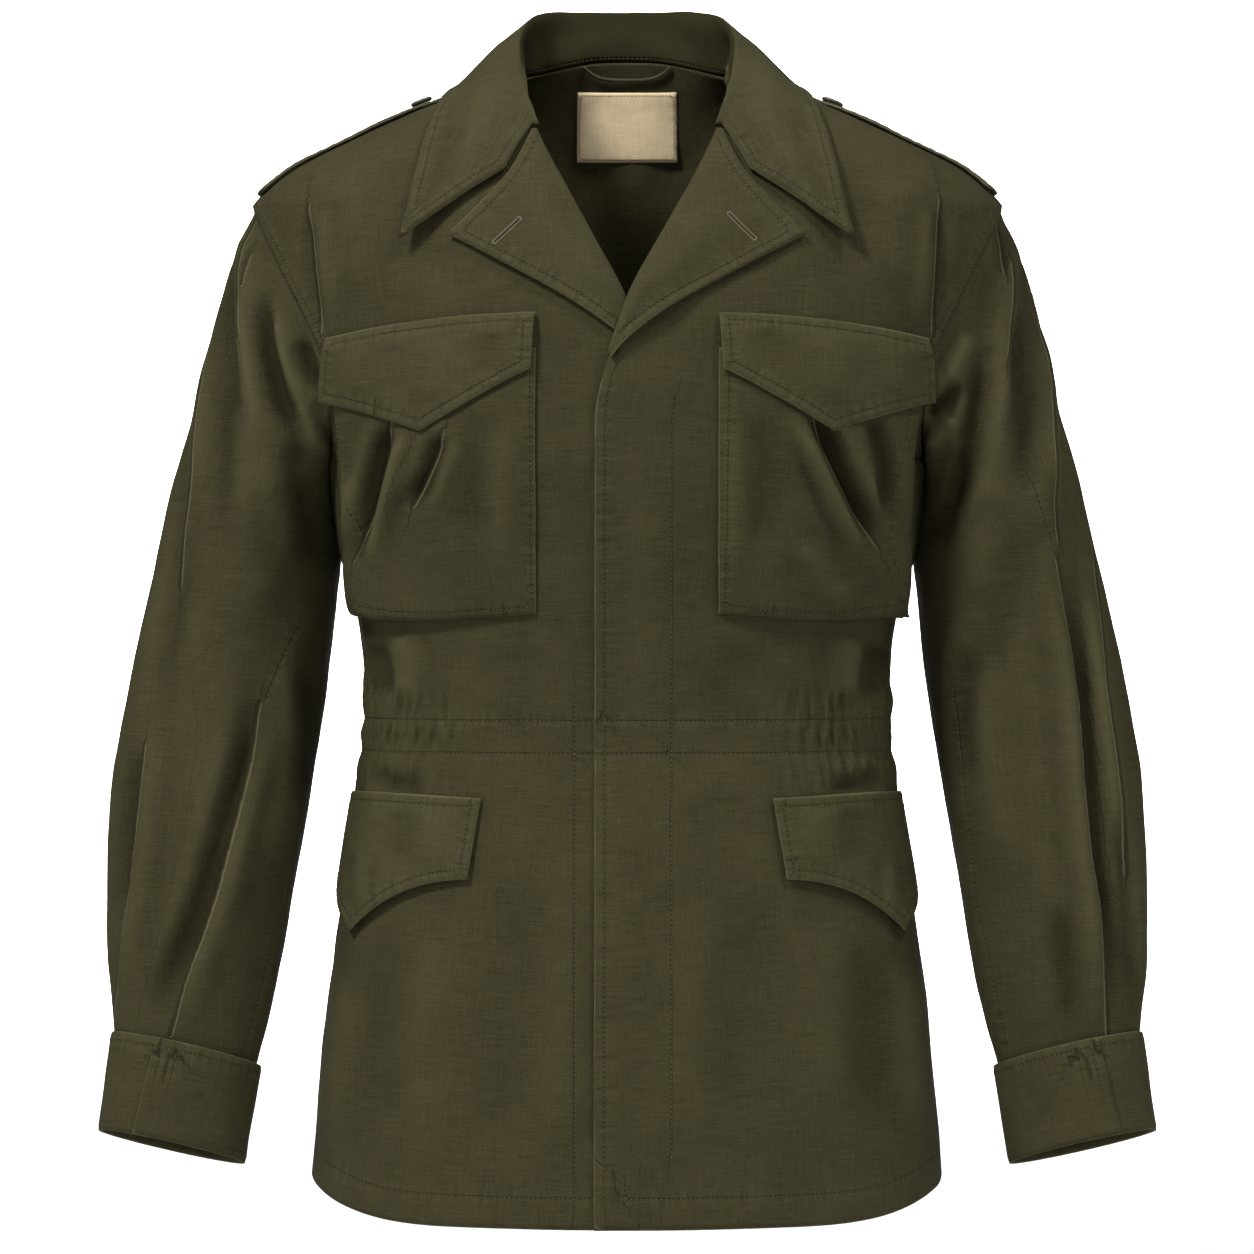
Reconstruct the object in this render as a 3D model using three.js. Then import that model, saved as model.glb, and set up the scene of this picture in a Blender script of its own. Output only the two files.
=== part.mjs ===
// A single-breasted field jacket, filled out as it is worn, with its collar and lapels open.
// Millimetres. X runs to the wearer's left, -Y is the front and Z is up.
// The origin lies inside the neck, level with the shoulders, where a wearer carries the jacket.

import * as THREE from 'three';

// Driving sizes
const CLOTH = 1.5; // one panel of cloth
const DOUBLE = 1.3; // a flap, pocket face or lapel laid on a panel
const SEAM = 0.3; // gap at a seam
const LAY = 0.5; // gap under a piece that lies on another
const ROUND = 2.2; // exponent of the torso sections, 2 is an ellipse
const RAD = Math.PI / 180;

const HEM_Z = -702;
const WAIST_Z = -414;
const ARMPIT_Z = -240;
const SHOULDER_Z = -70;
const NECK_SIDE_Z = 14;

// Torso sections: height, half width, depth in front of and behind the side seam
const SECTIONS = [
  { z: -730, half: 208, front: 141, back: 141 },
  { z: HEM_Z, half: 206, front: 140, back: 140 },
  { z: -590, half: 196, front: 134, back: 136 },
  { z: -510, half: 185, front: 127, back: 130 },
  { z: -450, half: 177.5, front: 119, back: 122 },
  { z: WAIST_Z, half: 171, front: 112, back: 114 },
  { z: -350, half: 173, front: 116, back: 116 },
  { z: -326, half: 179.5, front: 119.5, back: 118 },
  { z: -300, half: 185.5, front: 123, back: 120 },
  { z: -260, half: 190.5, front: 128, back: 122 },
  { z: ARMPIT_Z, half: 193, front: 130, back: 122 },
  { z: -215, half: 203, front: 130, back: 121 },
  { z: -165, half: 221, front: 128, back: 118 },
  { z: -124, half: 235, front: 122, back: 113 },
  { z: -93, half: 242, front: 114, back: 108 },
  { z: SHOULDER_Z, half: 245, front: 107, back: 103 },
  { z: -59, half: 236, front: 102, back: 101 },
  { z: -45, half: 217, front: 96, back: 99 },
  { z: -32, half: 190, front: 89, back: 97 },
  { z: -13, half: 151, front: 77, back: 92 },
  { z: 0, half: 118, front: 67, back: 89 },
  { z: 18, half: 76, front: 48, back: 84 },
  { z: 37, half: 60, front: 40, back: 78 },
];

// Inner edge of a front: down the neck, the roll line of the lapel and the front edge
const FRONT_EDGE = [
  { z: -800, x: -20.5 },
  { z: -210, x: -20 },
  { z: -192, x: -16.5 },
  { z: -176, x: -11.5 },
  { z: -140, x: 1 },
  { z: -84, x: 30.5 },
  { z: -26, x: 59.5 },
  { z: -7, x: 65.5 },
  { z: 14, x: 71 },
];

const ARMHOLE = { middle: -155, half: 85, front: 62, back: 50, egg: 0.3 };
// How far the hem dips in front and behind, from which height, and the degrees where that fades
const HEM_DIP = { front: 19, back: 8, from: -500, frontFull: 38, side: 90, backFull: 140 };
const NECK_RISE = { height: 20, full: 172 }; // the back neck seam over its ends at the shoulder seams

// Waist gathers: wave length and height, the degrees between which they run, and how unevenly
const WAVE = {
  length: 18,
  height: 2.0,
  from: 46,
  full: 62,
  until: 112,
  gone: 134,
  radius: 150,
  drift: 0.9,
  driftRate: 0.11,
  sideShift: 0.5,
};
const GATHER_PITCH = 2.3; // degrees between the columns of the gathers
const PLAIN_PITCH = 10.4; // and of the plain cloth
const WAIST_PITCH = 8; // and of the waist rows away from the gathers
const SNAP_REACH = 3; // least degrees from an edge to a column that is moved
const RIGHT_SHIFT = 4; // degrees by which the folds of the right side differ
// How far the waist gathers stand up at each height, pinched at the two rows of stitching
const GATHERS = [
  { z: -800, rise: 0 },
  { z: -452, rise: 0 },
  { z: -438, rise: 0.9 },
  { z: -425, rise: 0.3 },
  { z: WAIST_Z, rise: 1 },
  { z: -403, rise: 0.3 },
  { z: -390, rise: 0.9 },
  { z: -362, rise: 0 },
  { z: 100, rise: 0 },
];

// Long soft folds of the torso: from (angle, z) to (angle, z), height and half width in degrees
const TORSO_FOLDS = [
  { a0: 60, z0: -74, a1: 62, z1: -160, rise: 2.6, wide: 9 },
  { a0: 74, z0: -470, a1: 66, z1: -700, rise: 3.2, wide: 9 },
  { a0: 40, z0: -560, a1: 44, z1: -715, rise: 2.2, wide: 10 },
  { a0: 104, z0: -455, a1: 112, z1: -700, rise: 3.4, wide: 10 },
  { a0: 150, z0: -440, a1: 152, z1: -700, rise: 3.0, wide: 11 },
  { a0: 112, z0: -120, a1: 128, z1: -330, rise: 3.0, wide: 9 },
  { a0: 100, z0: -300, a1: 130, z1: -392, rise: -2.6, wide: 9 },
  { a0: 76, z0: -345, a1: 50, z1: -396, rise: -2.0, wide: 8 },
];

// Overlap of the fronts: how far the upper one is lifted, and where the lift fades
const LIFT = {
  flat: 2.1,
  lapel: 6.2,
  fadeFrom: 22,
  fadeTo: 50,
  top: -70,
  high: -148,
  low: -184,
  bottom: -222,
};

const LAPEL = {
  tip: { x: 112.5, z: -97 },
  notch: { x: 73.5, z: -58 },
  outer: [
    { s: 0, x: -13, z: -180 },
    { s: 0.12, x: -3.5, z: -168 },
    { s: 0.26, x: 10.5, z: -156.5 },
    { s: 0.5, x: 38, z: -138 },
    { s: 1, x: 112.5, z: -97 },
  ],
  gorge: { x: 59.5, z: -27 },
  bendAt: 0.4,
  low: { left: -174, right: -159.5 },
  start: { left: 0.03, right: 0.2 },
  reach: 0.02,
  puff: 2.4,
  edgeLift: 1.2,
  under: 0.7,
  turns: [-35, 25],
  rows: 10,
  columns: 6,
};

// Collar stations from the back centre to the end: the roll and the outer edge
const COLLAR = [
  { rx: 0, ry: 88, rz: 71, ex: 0, ey: 100, ez: 3 },
  { rx: 40, ry: 83, rz: 70, ex: 60, ey: 96, ez: 0 },
  { rx: 58.5, ry: 60, rz: 65, ex: 96, ey: 66, ez: 1 },
  { rx: 66, ry: 28, rz: 54, ex: 111.5, ey: 24, ez: 6 },
  { rx: 69, ry: -12, rz: 38, ex: 117, ey: -24, ez: 1 },
  { rx: 68.5, ry: -45, rz: 16, ex: 126, ey: -66, ez: -28 },
  { rx: 65, ry: -70, rz: -8, ex: 135, ey: -92, ez: -63 },
  { rx: 59.8, ry: -82, rz: -25.5, ex: 144, ey: -106, ez: -99 },
];
const COLLAR_SIDE = 3; // the station over the shoulder seam
const COLLAR_FRONT = 4; // the station at the top of the front edge
const COLLAR_CLOTH = 2.0;
const COLLAR_STEPS = 26;
// The rows between seam and edge: how far each moves out and up, faded towards the ends
const COLLAR_ROLL = {
  middle: -1.2,
  inner: -2.2,
  innerDown: -5.5,
  crest: 1.6,
  outer: 4.6,
  outerDown: -3,
  puff: 4.6,
  belly: 3,
  falls: [0.22, 0.4, 0.6, 0.8, 1],
  fade: 2.2,
  gorge: 1.4,
  tight: 0.8,
};

const CHEST_POCKET = {
  inner: 59,
  top: -170,
  bottom: -335,
  sag: 4.5,
  wall: 0.9,
  rim: 3.4,
  puff: 5.5,
  slump: 2.4,
  inset: 0.01,
};
// Outer edge of the chest pocket: height, angle round the torso and how far it stands out
const POCKET_EDGE = [
  { z: -165, angle: 57, out: 4.2 },
  { z: -202, angle: 61, out: 7 },
  { z: -234, angle: 66.5, out: 8 },
  { z: -264, angle: 70, out: 6.2 },
  { z: -288, angle: 72, out: 5.8 },
  { z: -310, angle: 75, out: 9.5 },
  { z: -340, angle: 76, out: 13.5 },
];
// Creases of the pocket faces, one list for each side: from (x, z) to (x, z), rise and half width
const POCKET_FOLDS = {
  left: [
    { x0: 116, z0: -206, x1: 160, z1: -296, rise: -3.6, wide: 9 },
    { x0: 104, z0: -212, x1: 142, z1: -290, rise: 2.6, wide: 12 },
  ],
  right: [
    { x0: 150, z0: -212, x1: 178, z1: -308, rise: -3.6, wide: 9 },
    { x0: 116, z0: -225, x1: 137, z1: -272, rise: 2.8, wide: 11 },
    { x0: 92, z0: -210, x1: 98, z1: -262, rise: 1.6, wide: 12 },
  ],
};
const CHEST_FLAP = {
  x0: 57.5,
  x1: 191,
  top0: -147,
  top1: -160,
  arch: 3,
  low0: -183,
  low1: -199,
  point: -220,
  widest: 68,
};

const HIP_FLAP = {
  a0: 28.8,
  a1: 100,
  slant: 1.8,
  top: -453,
  arch: 2.5,
  low: -504,
  point: -540,
  hook: 1.9,
  puff: 2.4,
  edgeLift: 1.2,
  under: 0.9,
};

// Rings of a sleeve below its cap: centre, half width, half depth, outward lean and forward pitch
const SLEEVE = [
  { x: 246.5, y: 10, z: -300, half: 59.5, deep: 69, lean: 3, pitch: 0 },
  { x: 254.2, y: 9, z: -345, half: 62.4, deep: 69, lean: 5, pitch: 2 },
  { x: 262, y: 4, z: -392, half: 64.8, deep: 67, lean: 7, pitch: 4 },
  { x: 269.5, y: -4, z: -438, half: 65, deep: 65, lean: 8, pitch: 6 },
  { x: 275.5, y: -14, z: -484, half: 63, deep: 62, lean: 9, pitch: 8 },
  { x: 279.3, y: -25, z: -536, half: 59.6, deep: 56, lean: 10, pitch: 10 },
  { x: 282.3, y: -34, z: -578, half: 55, deep: 48, lean: 11.5, pitch: 11 },
  { x: 283.8, y: -40, z: -606, half: 49.3, deep: 40.5, lean: 12.5, pitch: 11.6 },
  { x: 285.5, y: -43, z: -627, half: 45.6, deep: 37, lean: 12.5, pitch: 11.6 },
];
const SLEEVE_LEVELS = [0, 0.5, 1, 1.5, 2, 2.5, 3, 3.5, 4, 4.5, 5, 5.5, 6, 6.5, 7, 8];
const CAP_STEPS = [0, 0.05, 0.12, 0.22, 0.36, 0.52, 0.68, 0.84];
// The cap: how it lies at the seam, how it leaves and arrives, and how full the sleeve head is
const CAP = {
  proud: 0.4,
  under: 0.45,
  thinFrom: 0.1,
  thinTo: 0.62,
  crown: { x: 0.85, z: -0.53 },
  step: 0.5,
  spread: 0.42,
  lean: 0.12,
  fall: 0.14,
  bulge: 8,
  bulgeFull: 0.1,
  bulgeHold: 0.34,
  bulgeGone: 0.58,
};
const ARMHOLE_ROWS = 12;
const ARMHOLE_EVEN = 0.3; // share of even spacing in the rows down the armhole

// Sleeve folds: along the sleeve from level to level (below zero is the cap), and round it in
// degrees from the outer line, 90 being the front
const SLEEVE_FOLDS = {
  right: [
    { l0: -0.9, a0: 12, l1: 4.2, a1: 46, rise: 4.5, wide: 16 },
    { l0: -0.7, a0: 40, l1: 2.4, a1: 62, rise: -5.5, wide: 16 },
    { l0: -0.6, a0: 74, l1: 2.6, a1: 84, rise: 4, wide: 17 },
    { l0: -0.35, a0: 108, l1: 1.2, a1: 126, rise: -5, wide: 16 },
    { l0: 2.6, a0: 118, l1: 7, a1: 74, rise: -4.8, wide: 13 },
    { l0: 3.4, a0: 132, l1: 7, a1: 96, rise: 3.6, wide: 16 },
    { l0: 3.8, a0: 26, l1: 7, a1: 30, rise: -3.4, wide: 14 },
    { l0: 0.4, a0: 226, l1: 3.6, a1: 262, rise: -4.5, wide: 16 },
    { l0: 2.8, a0: 204, l1: 6.6, a1: 226, rise: 4, wide: 18 },
    { l0: -0.6, a0: 296, l1: 2.6, a1: 300, rise: -4, wide: 17 },
    { l0: 3.6, a0: 312, l1: 7, a1: 300, rise: -4, wide: 15 },
  ],
  left: [
    { l0: -0.9, a0: 8, l1: 4.0, a1: 30, rise: 4, wide: 15 },
    { l0: -0.6, a0: 36, l1: 2.0, a1: 56, rise: -5.2, wide: 16 },
    { l0: -0.7, a0: 62, l1: 1.8, a1: 76, rise: 4.2, wide: 16 },
    { l0: -0.4, a0: 92, l1: 1.6, a1: 122, rise: -5.4, wide: 16 },
    { l0: 1.6, a0: 58, l1: 7, a1: 50, rise: -5, wide: 12 },
    { l0: 1.8, a0: 38, l1: 7, a1: 28, rise: 3.8, wide: 14 },
    { l0: 1.4, a0: 96, l1: 3.6, a1: 122, rise: -3.4, wide: 17 },
    { l0: 0.6, a0: 232, l1: 3.4, a1: 256, rise: -4.2, wide: 16 },
    { l0: 3.0, a0: 210, l1: 6.8, a1: 222, rise: 3.6, wide: 18 },
    { l0: -0.6, a0: 290, l1: 2.4, a1: 304, rise: -4.4, wide: 17 },
    { l0: 3.8, a0: 320, l1: 7, a1: 306, rise: -3.6, wide: 15 },
  ],
};

const CUFF = {
  top: { x: 284, y: -41.5, z: -617, half: 50, deep: 41.5, lean: 12.5, pitch: 11.6 },
  bottom: { x: 292.5, y: -54.5, z: -678.5, half: 48.6, deep: 40.5, lean: 12.5, pitch: 11.6 },
  slitTop: 72,
  slitBottom: 64,
  overlap: 24,
  step: 2.1,
  rows: 4,
  columns: 34,
};

const STRAP = {
  tip: 119,
  shoulder: 141,
  end: 241,
  hollow: 0.012,
  half: 24,
  y: 2,
  cloth: 1.6,
  blunt: 0.08,
  bow: 0.9,
  under: 0.8,
  rows: 11,
  columns: 4,
};
const BUTTON = { radius: 7.5, thick: 2.6, x: 134, rise: 2.4, sides: 14 };
const LABEL = { half: 34, low: -31, high: 15, cloth: 1 };
const LOOP = { half: 29, z: 30, sag: 8, radius: 1.4, gap: 0.4, steps: 14, sides: 6 };

// A smooth column of a table against another, without overshoot
function curve(rows, key, value) {
  const list = [...rows].sort((p, q) => p[key] - q[key]);
  const x = list.map((row) => row[key]);
  const y = list.map((row) => row[value]);
  const last = x.length - 1;
  const chord = y.slice(1).map((v, i) => (v - y[i]) / (x[i + 1] - x[i]));
  const slope = y.map((v, i) => {
    if (i === 0) return chord[0];
    if (i === last) return chord[last - 1];
    if (chord[i - 1] * chord[i] <= 0) return 0;
    return (2 * chord[i - 1] * chord[i]) / (chord[i - 1] + chord[i]);
  });
  return (at) => {
    const held = Math.min(Math.max(at, x[0]), x[last]);
    let i = 0;
    while (i < last - 1 && held > x[i + 1]) i += 1;
    const width = x[i + 1] - x[i];
    const t = (held - x[i]) / width;
    const rest = 1 - t;
    const ends = y[i] * (1 + 2 * t) * rest * rest + y[i + 1] * t * t * (3 - 2 * t);
    return ends + width * t * rest * (slope[i] * rest - slope[i + 1] * t);
  };
}

const mix = (from, to, t) => from + (to - from) * t;

function smooth(from, to, value) {
  const t = Math.min(Math.max((value - from) / (to - from), 0), 1);
  return t * t * (3 - 2 * t);
}

const steps = (count) => Array.from({ length: count + 1 }, (unused, i) => i / count);

const halfAt = curve(SECTIONS, 'z', 'half');
const frontAt = curve(SECTIONS, 'z', 'front');
const backAt = curve(SECTIONS, 'z', 'back');
const edgeAt = curve(FRONT_EDGE, 'z', 'x');
const gatherAt = curve(GATHERS, 'z', 'rise');

// How much a fold from one place to another lifts the cloth at (u, v), u across and v along
function foldRise(fold, u, v, u0, v0, u1, v1) {
  const along = (v - v0) / (v1 - v0);
  if (along < -0.15 || along > 1.15) return 0;
  const ends = smooth(-0.15, 0.25, along) * (1 - smooth(0.75, 1.15, along));
  const off = (u - mix(u0, u1, along)) / fold.wide;
  return fold.rise * ends * Math.exp(-off * off * 2);
}

// Folds and waist gathers of the torso at an angle in degrees from the front centre
function torsoRise(degrees, z, side) {
  let rise = 0;
  for (const fold of TORSO_FOLDS) {
    const shift = side > 0 ? 0 : RIGHT_SHIFT;
    rise += foldRise(fold, degrees + shift, z, fold.a0, fold.z0, fold.a1, fold.z1);
  }
  const place = degrees * RAD * WAVE.radius;
  const band = smooth(WAVE.from, WAVE.full, degrees) * (1 - smooth(WAVE.until, WAVE.gone, degrees));
  const uneven = WAVE.drift * Math.sin(degrees * WAVE.driftRate + side) + WAVE.sideShift * side;
  const wave = Math.sin((place / WAVE.length) * 2 * Math.PI + uneven);
  return rise + WAVE.height * band * gatherAt(z) * wave;
}

// A point of the torso without folds, at a signed angle in radians and a height
function plainTorso(angle, z) {
  const sin = Math.sin(angle);
  const cos = Math.cos(angle);
  const depth = cos > 0 ? frontAt(z) : backAt(z);
  const x = halfAt(z) * Math.sign(sin) * Math.abs(sin) ** (2 / ROUND);
  const y = -depth * Math.sign(cos) * Math.abs(cos) ** (2 / ROUND);
  return new THREE.Vector3(x, y, z);
}

function normalOf(surface, angle, z) {
  const across = surface(angle + 0.004, z).sub(surface(angle - 0.004, z));
  const up = surface(angle, z + 0.6).sub(surface(angle, z - 0.6));
  return across.cross(up).normalize();
}

function foldedTorso(angle, z) {
  const side = Math.sin(angle) < 0 ? -1 : 1;
  const degrees = Math.acos(Math.cos(angle)) / RAD;
  const point = plainTorso(angle, z);
  return point.addScaledVector(normalOf(plainTorso, angle, z), torsoRise(degrees, z, side));
}

// A point of the torso moved out, with its normal
function torso(angle, z, out = 0) {
  const normal = normalOf(foldedTorso, angle, z);
  return { point: foldedTorso(angle, z).addScaledVector(normal, out), normal };
}

// The angle of the place x in the front at a height
function angleAt(x, z) {
  const share = Math.min(Math.abs(x) / halfAt(z), 1);
  return Math.sign(x) * Math.asin(share ** (ROUND / 2));
}

// How far a point stands out from the torso
function standsOut(point) {
  const z = Math.min(point.z, 18);
  const depth = point.y < 0 ? frontAt(z) : backAt(z);
  const a = (Math.abs(point.x) / halfAt(z)) ** (ROUND / 2);
  const b = (Math.abs(point.y) / depth) ** (ROUND / 2);
  const angle = Math.atan2(a, b);
  const at = torso(point.y < 0 ? angle : Math.PI - angle, z);
  at.point.x *= Math.sign(point.x) || 1;
  at.normal.x *= Math.sign(point.x) || 1;
  return { out: point.clone().sub(at.point).dot(at.normal), normal: at.normal };
}

function pushOut(point, least) {
  for (let i = 0; i < 3; i += 1) {
    const at = standsOut(point);
    if (at.out < least) point.addScaledVector(at.normal, least - at.out);
  }
  return point;
}

// Rows of {point, normal, u} seen from the other side of the jacket
function mirrored(rows) {
  return rows.map((row) =>
    row
      .map(({ point, normal, u }) => ({
        point: new THREE.Vector3(-point.x, point.y, point.z),
        normal: new THREE.Vector3(-normal.x, normal.y, normal.z),
        u: 1 - u,
      }))
      .reverse(),
  );
}

// Gives a plain grid of points its normals: columns crossed with rows point outwards
function withNormals(grid, closed = false) {
  const last = grid[0].length - 1;
  return grid.map((row, i) =>
    row.map((point, j) => {
      const left = j > 0 ? row[j - 1] : closed ? row[last - 1] : row[j];
      const right = j < last ? row[j + 1] : closed ? row[1] : row[j];
      const below = grid[Math.max(i - 1, 0)][j];
      const above = grid[Math.min(i + 1, grid.length - 1)][j];
      const across = new THREE.Vector3().subVectors(right, left);
      const up = new THREE.Vector3().subVectors(above, below);
      return { point, normal: across.cross(up).normalize(), u: j / last };
    }),
  );
}

// Joins two rows of places by their share along the row, so that the rows may differ in count
function zip(lower, upper, offset, upperOffset, triangles, flip) {
  let i = 0;
  let j = 0;
  while (i < lower.length - 1 || j < upper.length - 1) {
    const nextLower = i < lower.length - 1 ? lower[i + 1].u : Infinity;
    const nextUpper = j < upper.length - 1 ? upper[j + 1].u : Infinity;
    const a = offset + i;
    const b = upperOffset + j;
    if (nextLower <= nextUpper) {
      triangles.push(flip ? [a, b, a + 1] : [a, a + 1, b]);
      i += 1;
    } else {
      triangles.push(flip ? [a, b, b + 1] : [a, b + 1, b]);
      j += 1;
    }
  }
}

// A wall of cloth: its outer points, the same points moved in by its thickness, and its rims
function wall(rows, thickness, closed = false) {
  const positions = [];
  const starts = [];
  for (const row of rows) {
    starts.push(positions.length);
    for (const { point } of row) positions.push(point);
  }
  const inner = positions.length;
  rows.forEach((row) => {
    row.forEach(({ point, normal }) => {
      positions.push(point.clone().addScaledVector(normal, -thickness));
    });
  });
  const triangles = [];
  for (let i = 0; i < rows.length - 1; i += 1) {
    zip(rows[i], rows[i + 1], starts[i], starts[i + 1], triangles, false);
    zip(rows[i], rows[i + 1], inner + starts[i], inner + starts[i + 1], triangles, true);
  }
  const rim = (a, b) => {
    triangles.push([a, inner + a, inner + b], [a, inner + b, b]);
  };
  const top = rows.length - 1;
  for (let j = 0; j < rows[0].length - 1; j += 1) rim(starts[0] + j, starts[0] + j + 1);
  for (let j = 0; j < rows[top].length - 1; j += 1) rim(starts[top] + j + 1, starts[top] + j);
  if (!closed) {
    for (let i = 0; i < top; i += 1) {
      rim(starts[i + 1], starts[i]);
      rim(starts[i] + rows[i].length - 1, starts[i + 1] + rows[i + 1].length - 1);
    }
  }
  const weld = new Map();
  if (closed) {
    rows.forEach((row, i) => {
      weld.set(starts[i] + row.length - 1, starts[i]);
      weld.set(inner + starts[i] + row.length - 1, inner + starts[i]);
    });
  }
  const index = triangles.map((triangle) => triangle.map((v) => weld.get(v) ?? v));
  const geometry = new THREE.BufferGeometry();
  geometry.setAttribute(
    'position',
    new THREE.Float32BufferAttribute(positions.flatMap((p) => [p.x, p.y, p.z]), 3),
  );
  geometry.setIndex(index.flat());
  geometry.computeVertexNormals();
  return geometry;
}

const jacket = new THREE.Group();
const OLIVE = new THREE.MeshStandardMaterial({ color: 0x504c34, roughness: 0.85, metalness: 0 });
const HORN = new THREE.MeshStandardMaterial({ color: 0x37321f, roughness: 0.5, metalness: 0 });
const LINEN = new THREE.MeshStandardMaterial({ color: 0xad9c7f, roughness: 0.9, metalness: 0 });

function add(name, geometry, material = OLIVE) {
  const mesh = new THREE.Mesh(geometry, material);
  mesh.name = name;
  jacket.add(mesh);
}

// Heights of the rows of a torso panel
const SKIRT_ROWS = [HEM_Z, -672, -632, -590, -548, -510, -480, -460];
const WAIST_ROWS = [-438, -425, WAIST_Z, -403, -390];
const CHEST_ROWS = [-366, -335, -304, -276, -256];
const ARMHOLE_HEIGHTS = steps(ARMHOLE_ROWS).map(
  (t) => ARMHOLE.middle - ARMHOLE.half * mix(Math.cos(Math.PI * t), 1 - 2 * t, ARMHOLE_EVEN),
);
const SHOULDER_ROWS = [-59, -45, -32, -13, 0, NECK_SIDE_Z];
const ROWS = [...SKIRT_ROWS, ...WAIST_ROWS, ...CHEST_ROWS, ...ARMHOLE_HEIGHTS, ...SHOULDER_ROWS];

// How deep the armhole lies in front of or behind the shoulder seam
function armholeDepth(z, deepest) {
  const cos = Math.min(Math.max((z - ARMHOLE.middle) / ARMHOLE.half, -1), 1);
  return deepest * Math.sqrt(1 - cos * cos) * (1 - ARMHOLE.egg * cos);
}

// The angle of a panel's outer edge: the armhole, or the side and shoulder seams
function outerAngle(z, deepest, depthAt) {
  const depth = armholeDepth(z, deepest);
  return Math.acos((depth / depthAt(z)) ** (ROUND / 2));
}

// The hem dips and the back neck rises, so a row's height changes round the torso
function rowHeight(z, degrees) {
  const low = smooth(HEM_DIP.from, HEM_Z, z);
  const front = 1 - smooth(HEM_DIP.frontFull, HEM_DIP.side, degrees);
  const back = smooth(HEM_DIP.side, HEM_DIP.backFull, degrees);
  const high = smooth(SHOULDER_Z, NECK_SIDE_Z, z);
  const dip = HEM_DIP.front * front + HEM_DIP.back * back;
  const rise = NECK_RISE.height * smooth(HEM_DIP.side, NECK_RISE.full, degrees);
  return z - low * dip + high * rise;
}

function placesAcross(from, to, z) {
  if (!WAIST_ROWS.includes(z)) {
    const count = Math.max(3, Math.round(Math.abs(to - from) / (PLAIN_PITCH * RAD)));
    return steps(count).map((t) => mix(from, to, t));
  }
  const list = [from];
  while (list[list.length - 1] < to - 1e-6) {
    const at = list[list.length - 1] / RAD;
    const side = Math.abs(((at + 540) % 360) - 180);
    const dense = side > WAVE.from - 4 && side < WAVE.gone;
    list.push(Math.min(at + (dense ? GATHER_PITCH : WAIST_PITCH), to / RAD) * RAD);
  }
  const extra = list[list.length - 1] - list[list.length - 2];
  if (extra < 0.8 * RAD) list.splice(list.length - 2, 1);
  return list;
}

// Moves the inner place nearest to an angle onto it, if the angle lies well inside
function snapTo(places, angle) {
  if (angle < places[0] + SNAP_REACH * RAD) return;
  const off = places.map((place) => Math.abs(place - angle));
  const nearest = off.indexOf(Math.min(...off.slice(1, -1)));
  places[nearest] = angle;
}

function lift(x, z) {
  const pile = smooth(LIFT.bottom, LIFT.low, z) * (1 - smooth(LIFT.high, LIFT.top, z));
  return mix(LIFT.flat, LIFT.lapel, pile) * (1 - smooth(LIFT.fadeFrom, LIFT.fadeTo, x));
}

const liftOf = (side, x, z) => (side > 0 ? lift(x, z) : 0);

function frontRows(side) {
  const rows = ROWS.map((z) => {
    const from = angleAt(edgeAt(z), z);
    const to = outerAngle(z, ARMHOLE.front, frontAt);
    const places = placesAcross(from, to, z);
    for (const x of [LIFT.fadeFrom, LIFT.fadeTo]) snapTo(places, angleAt(x, z));
    return places.map((angle) => {
      const x = plainTorso(angle, z).x;
      const height = rowHeight(z, Math.abs(angle) / RAD);
      const place = torso(angle, height, liftOf(side, x, z));
      if (side < 0) {
        const twin = torso(-angle, height, 0);
        place.point.set(-twin.point.x, twin.point.y, twin.point.z);
        place.normal.set(-twin.normal.x, twin.normal.y, twin.normal.z);
      }
      if (angle > to - 1e-6 && to > 89.9 * RAD) place.point.y -= SEAM / 2;
      return { ...place, u: (angle - from) / (to - from) };
    });
  });
  return side > 0 ? rows : mirrored(rows);
}

function backRows() {
  return ROWS.map((z) => {
    const from = Math.PI - outerAngle(z, ARMHOLE.back, backAt);
    const to = 2 * Math.PI - from;
    return placesAcross(from, to, z).map((angle) => {
      const degrees = Math.acos(Math.cos(angle)) / RAD;
      const place = torso(angle, rowHeight(z, degrees));
      const atSeam = angle < from + 1e-6 || angle > to - 1e-6;
      if (atSeam && from < 90.1 * RAD) place.point.y += SEAM / 2;
      return { ...place, u: (angle - from) / (to - from) };
    });
  });
}

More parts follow.
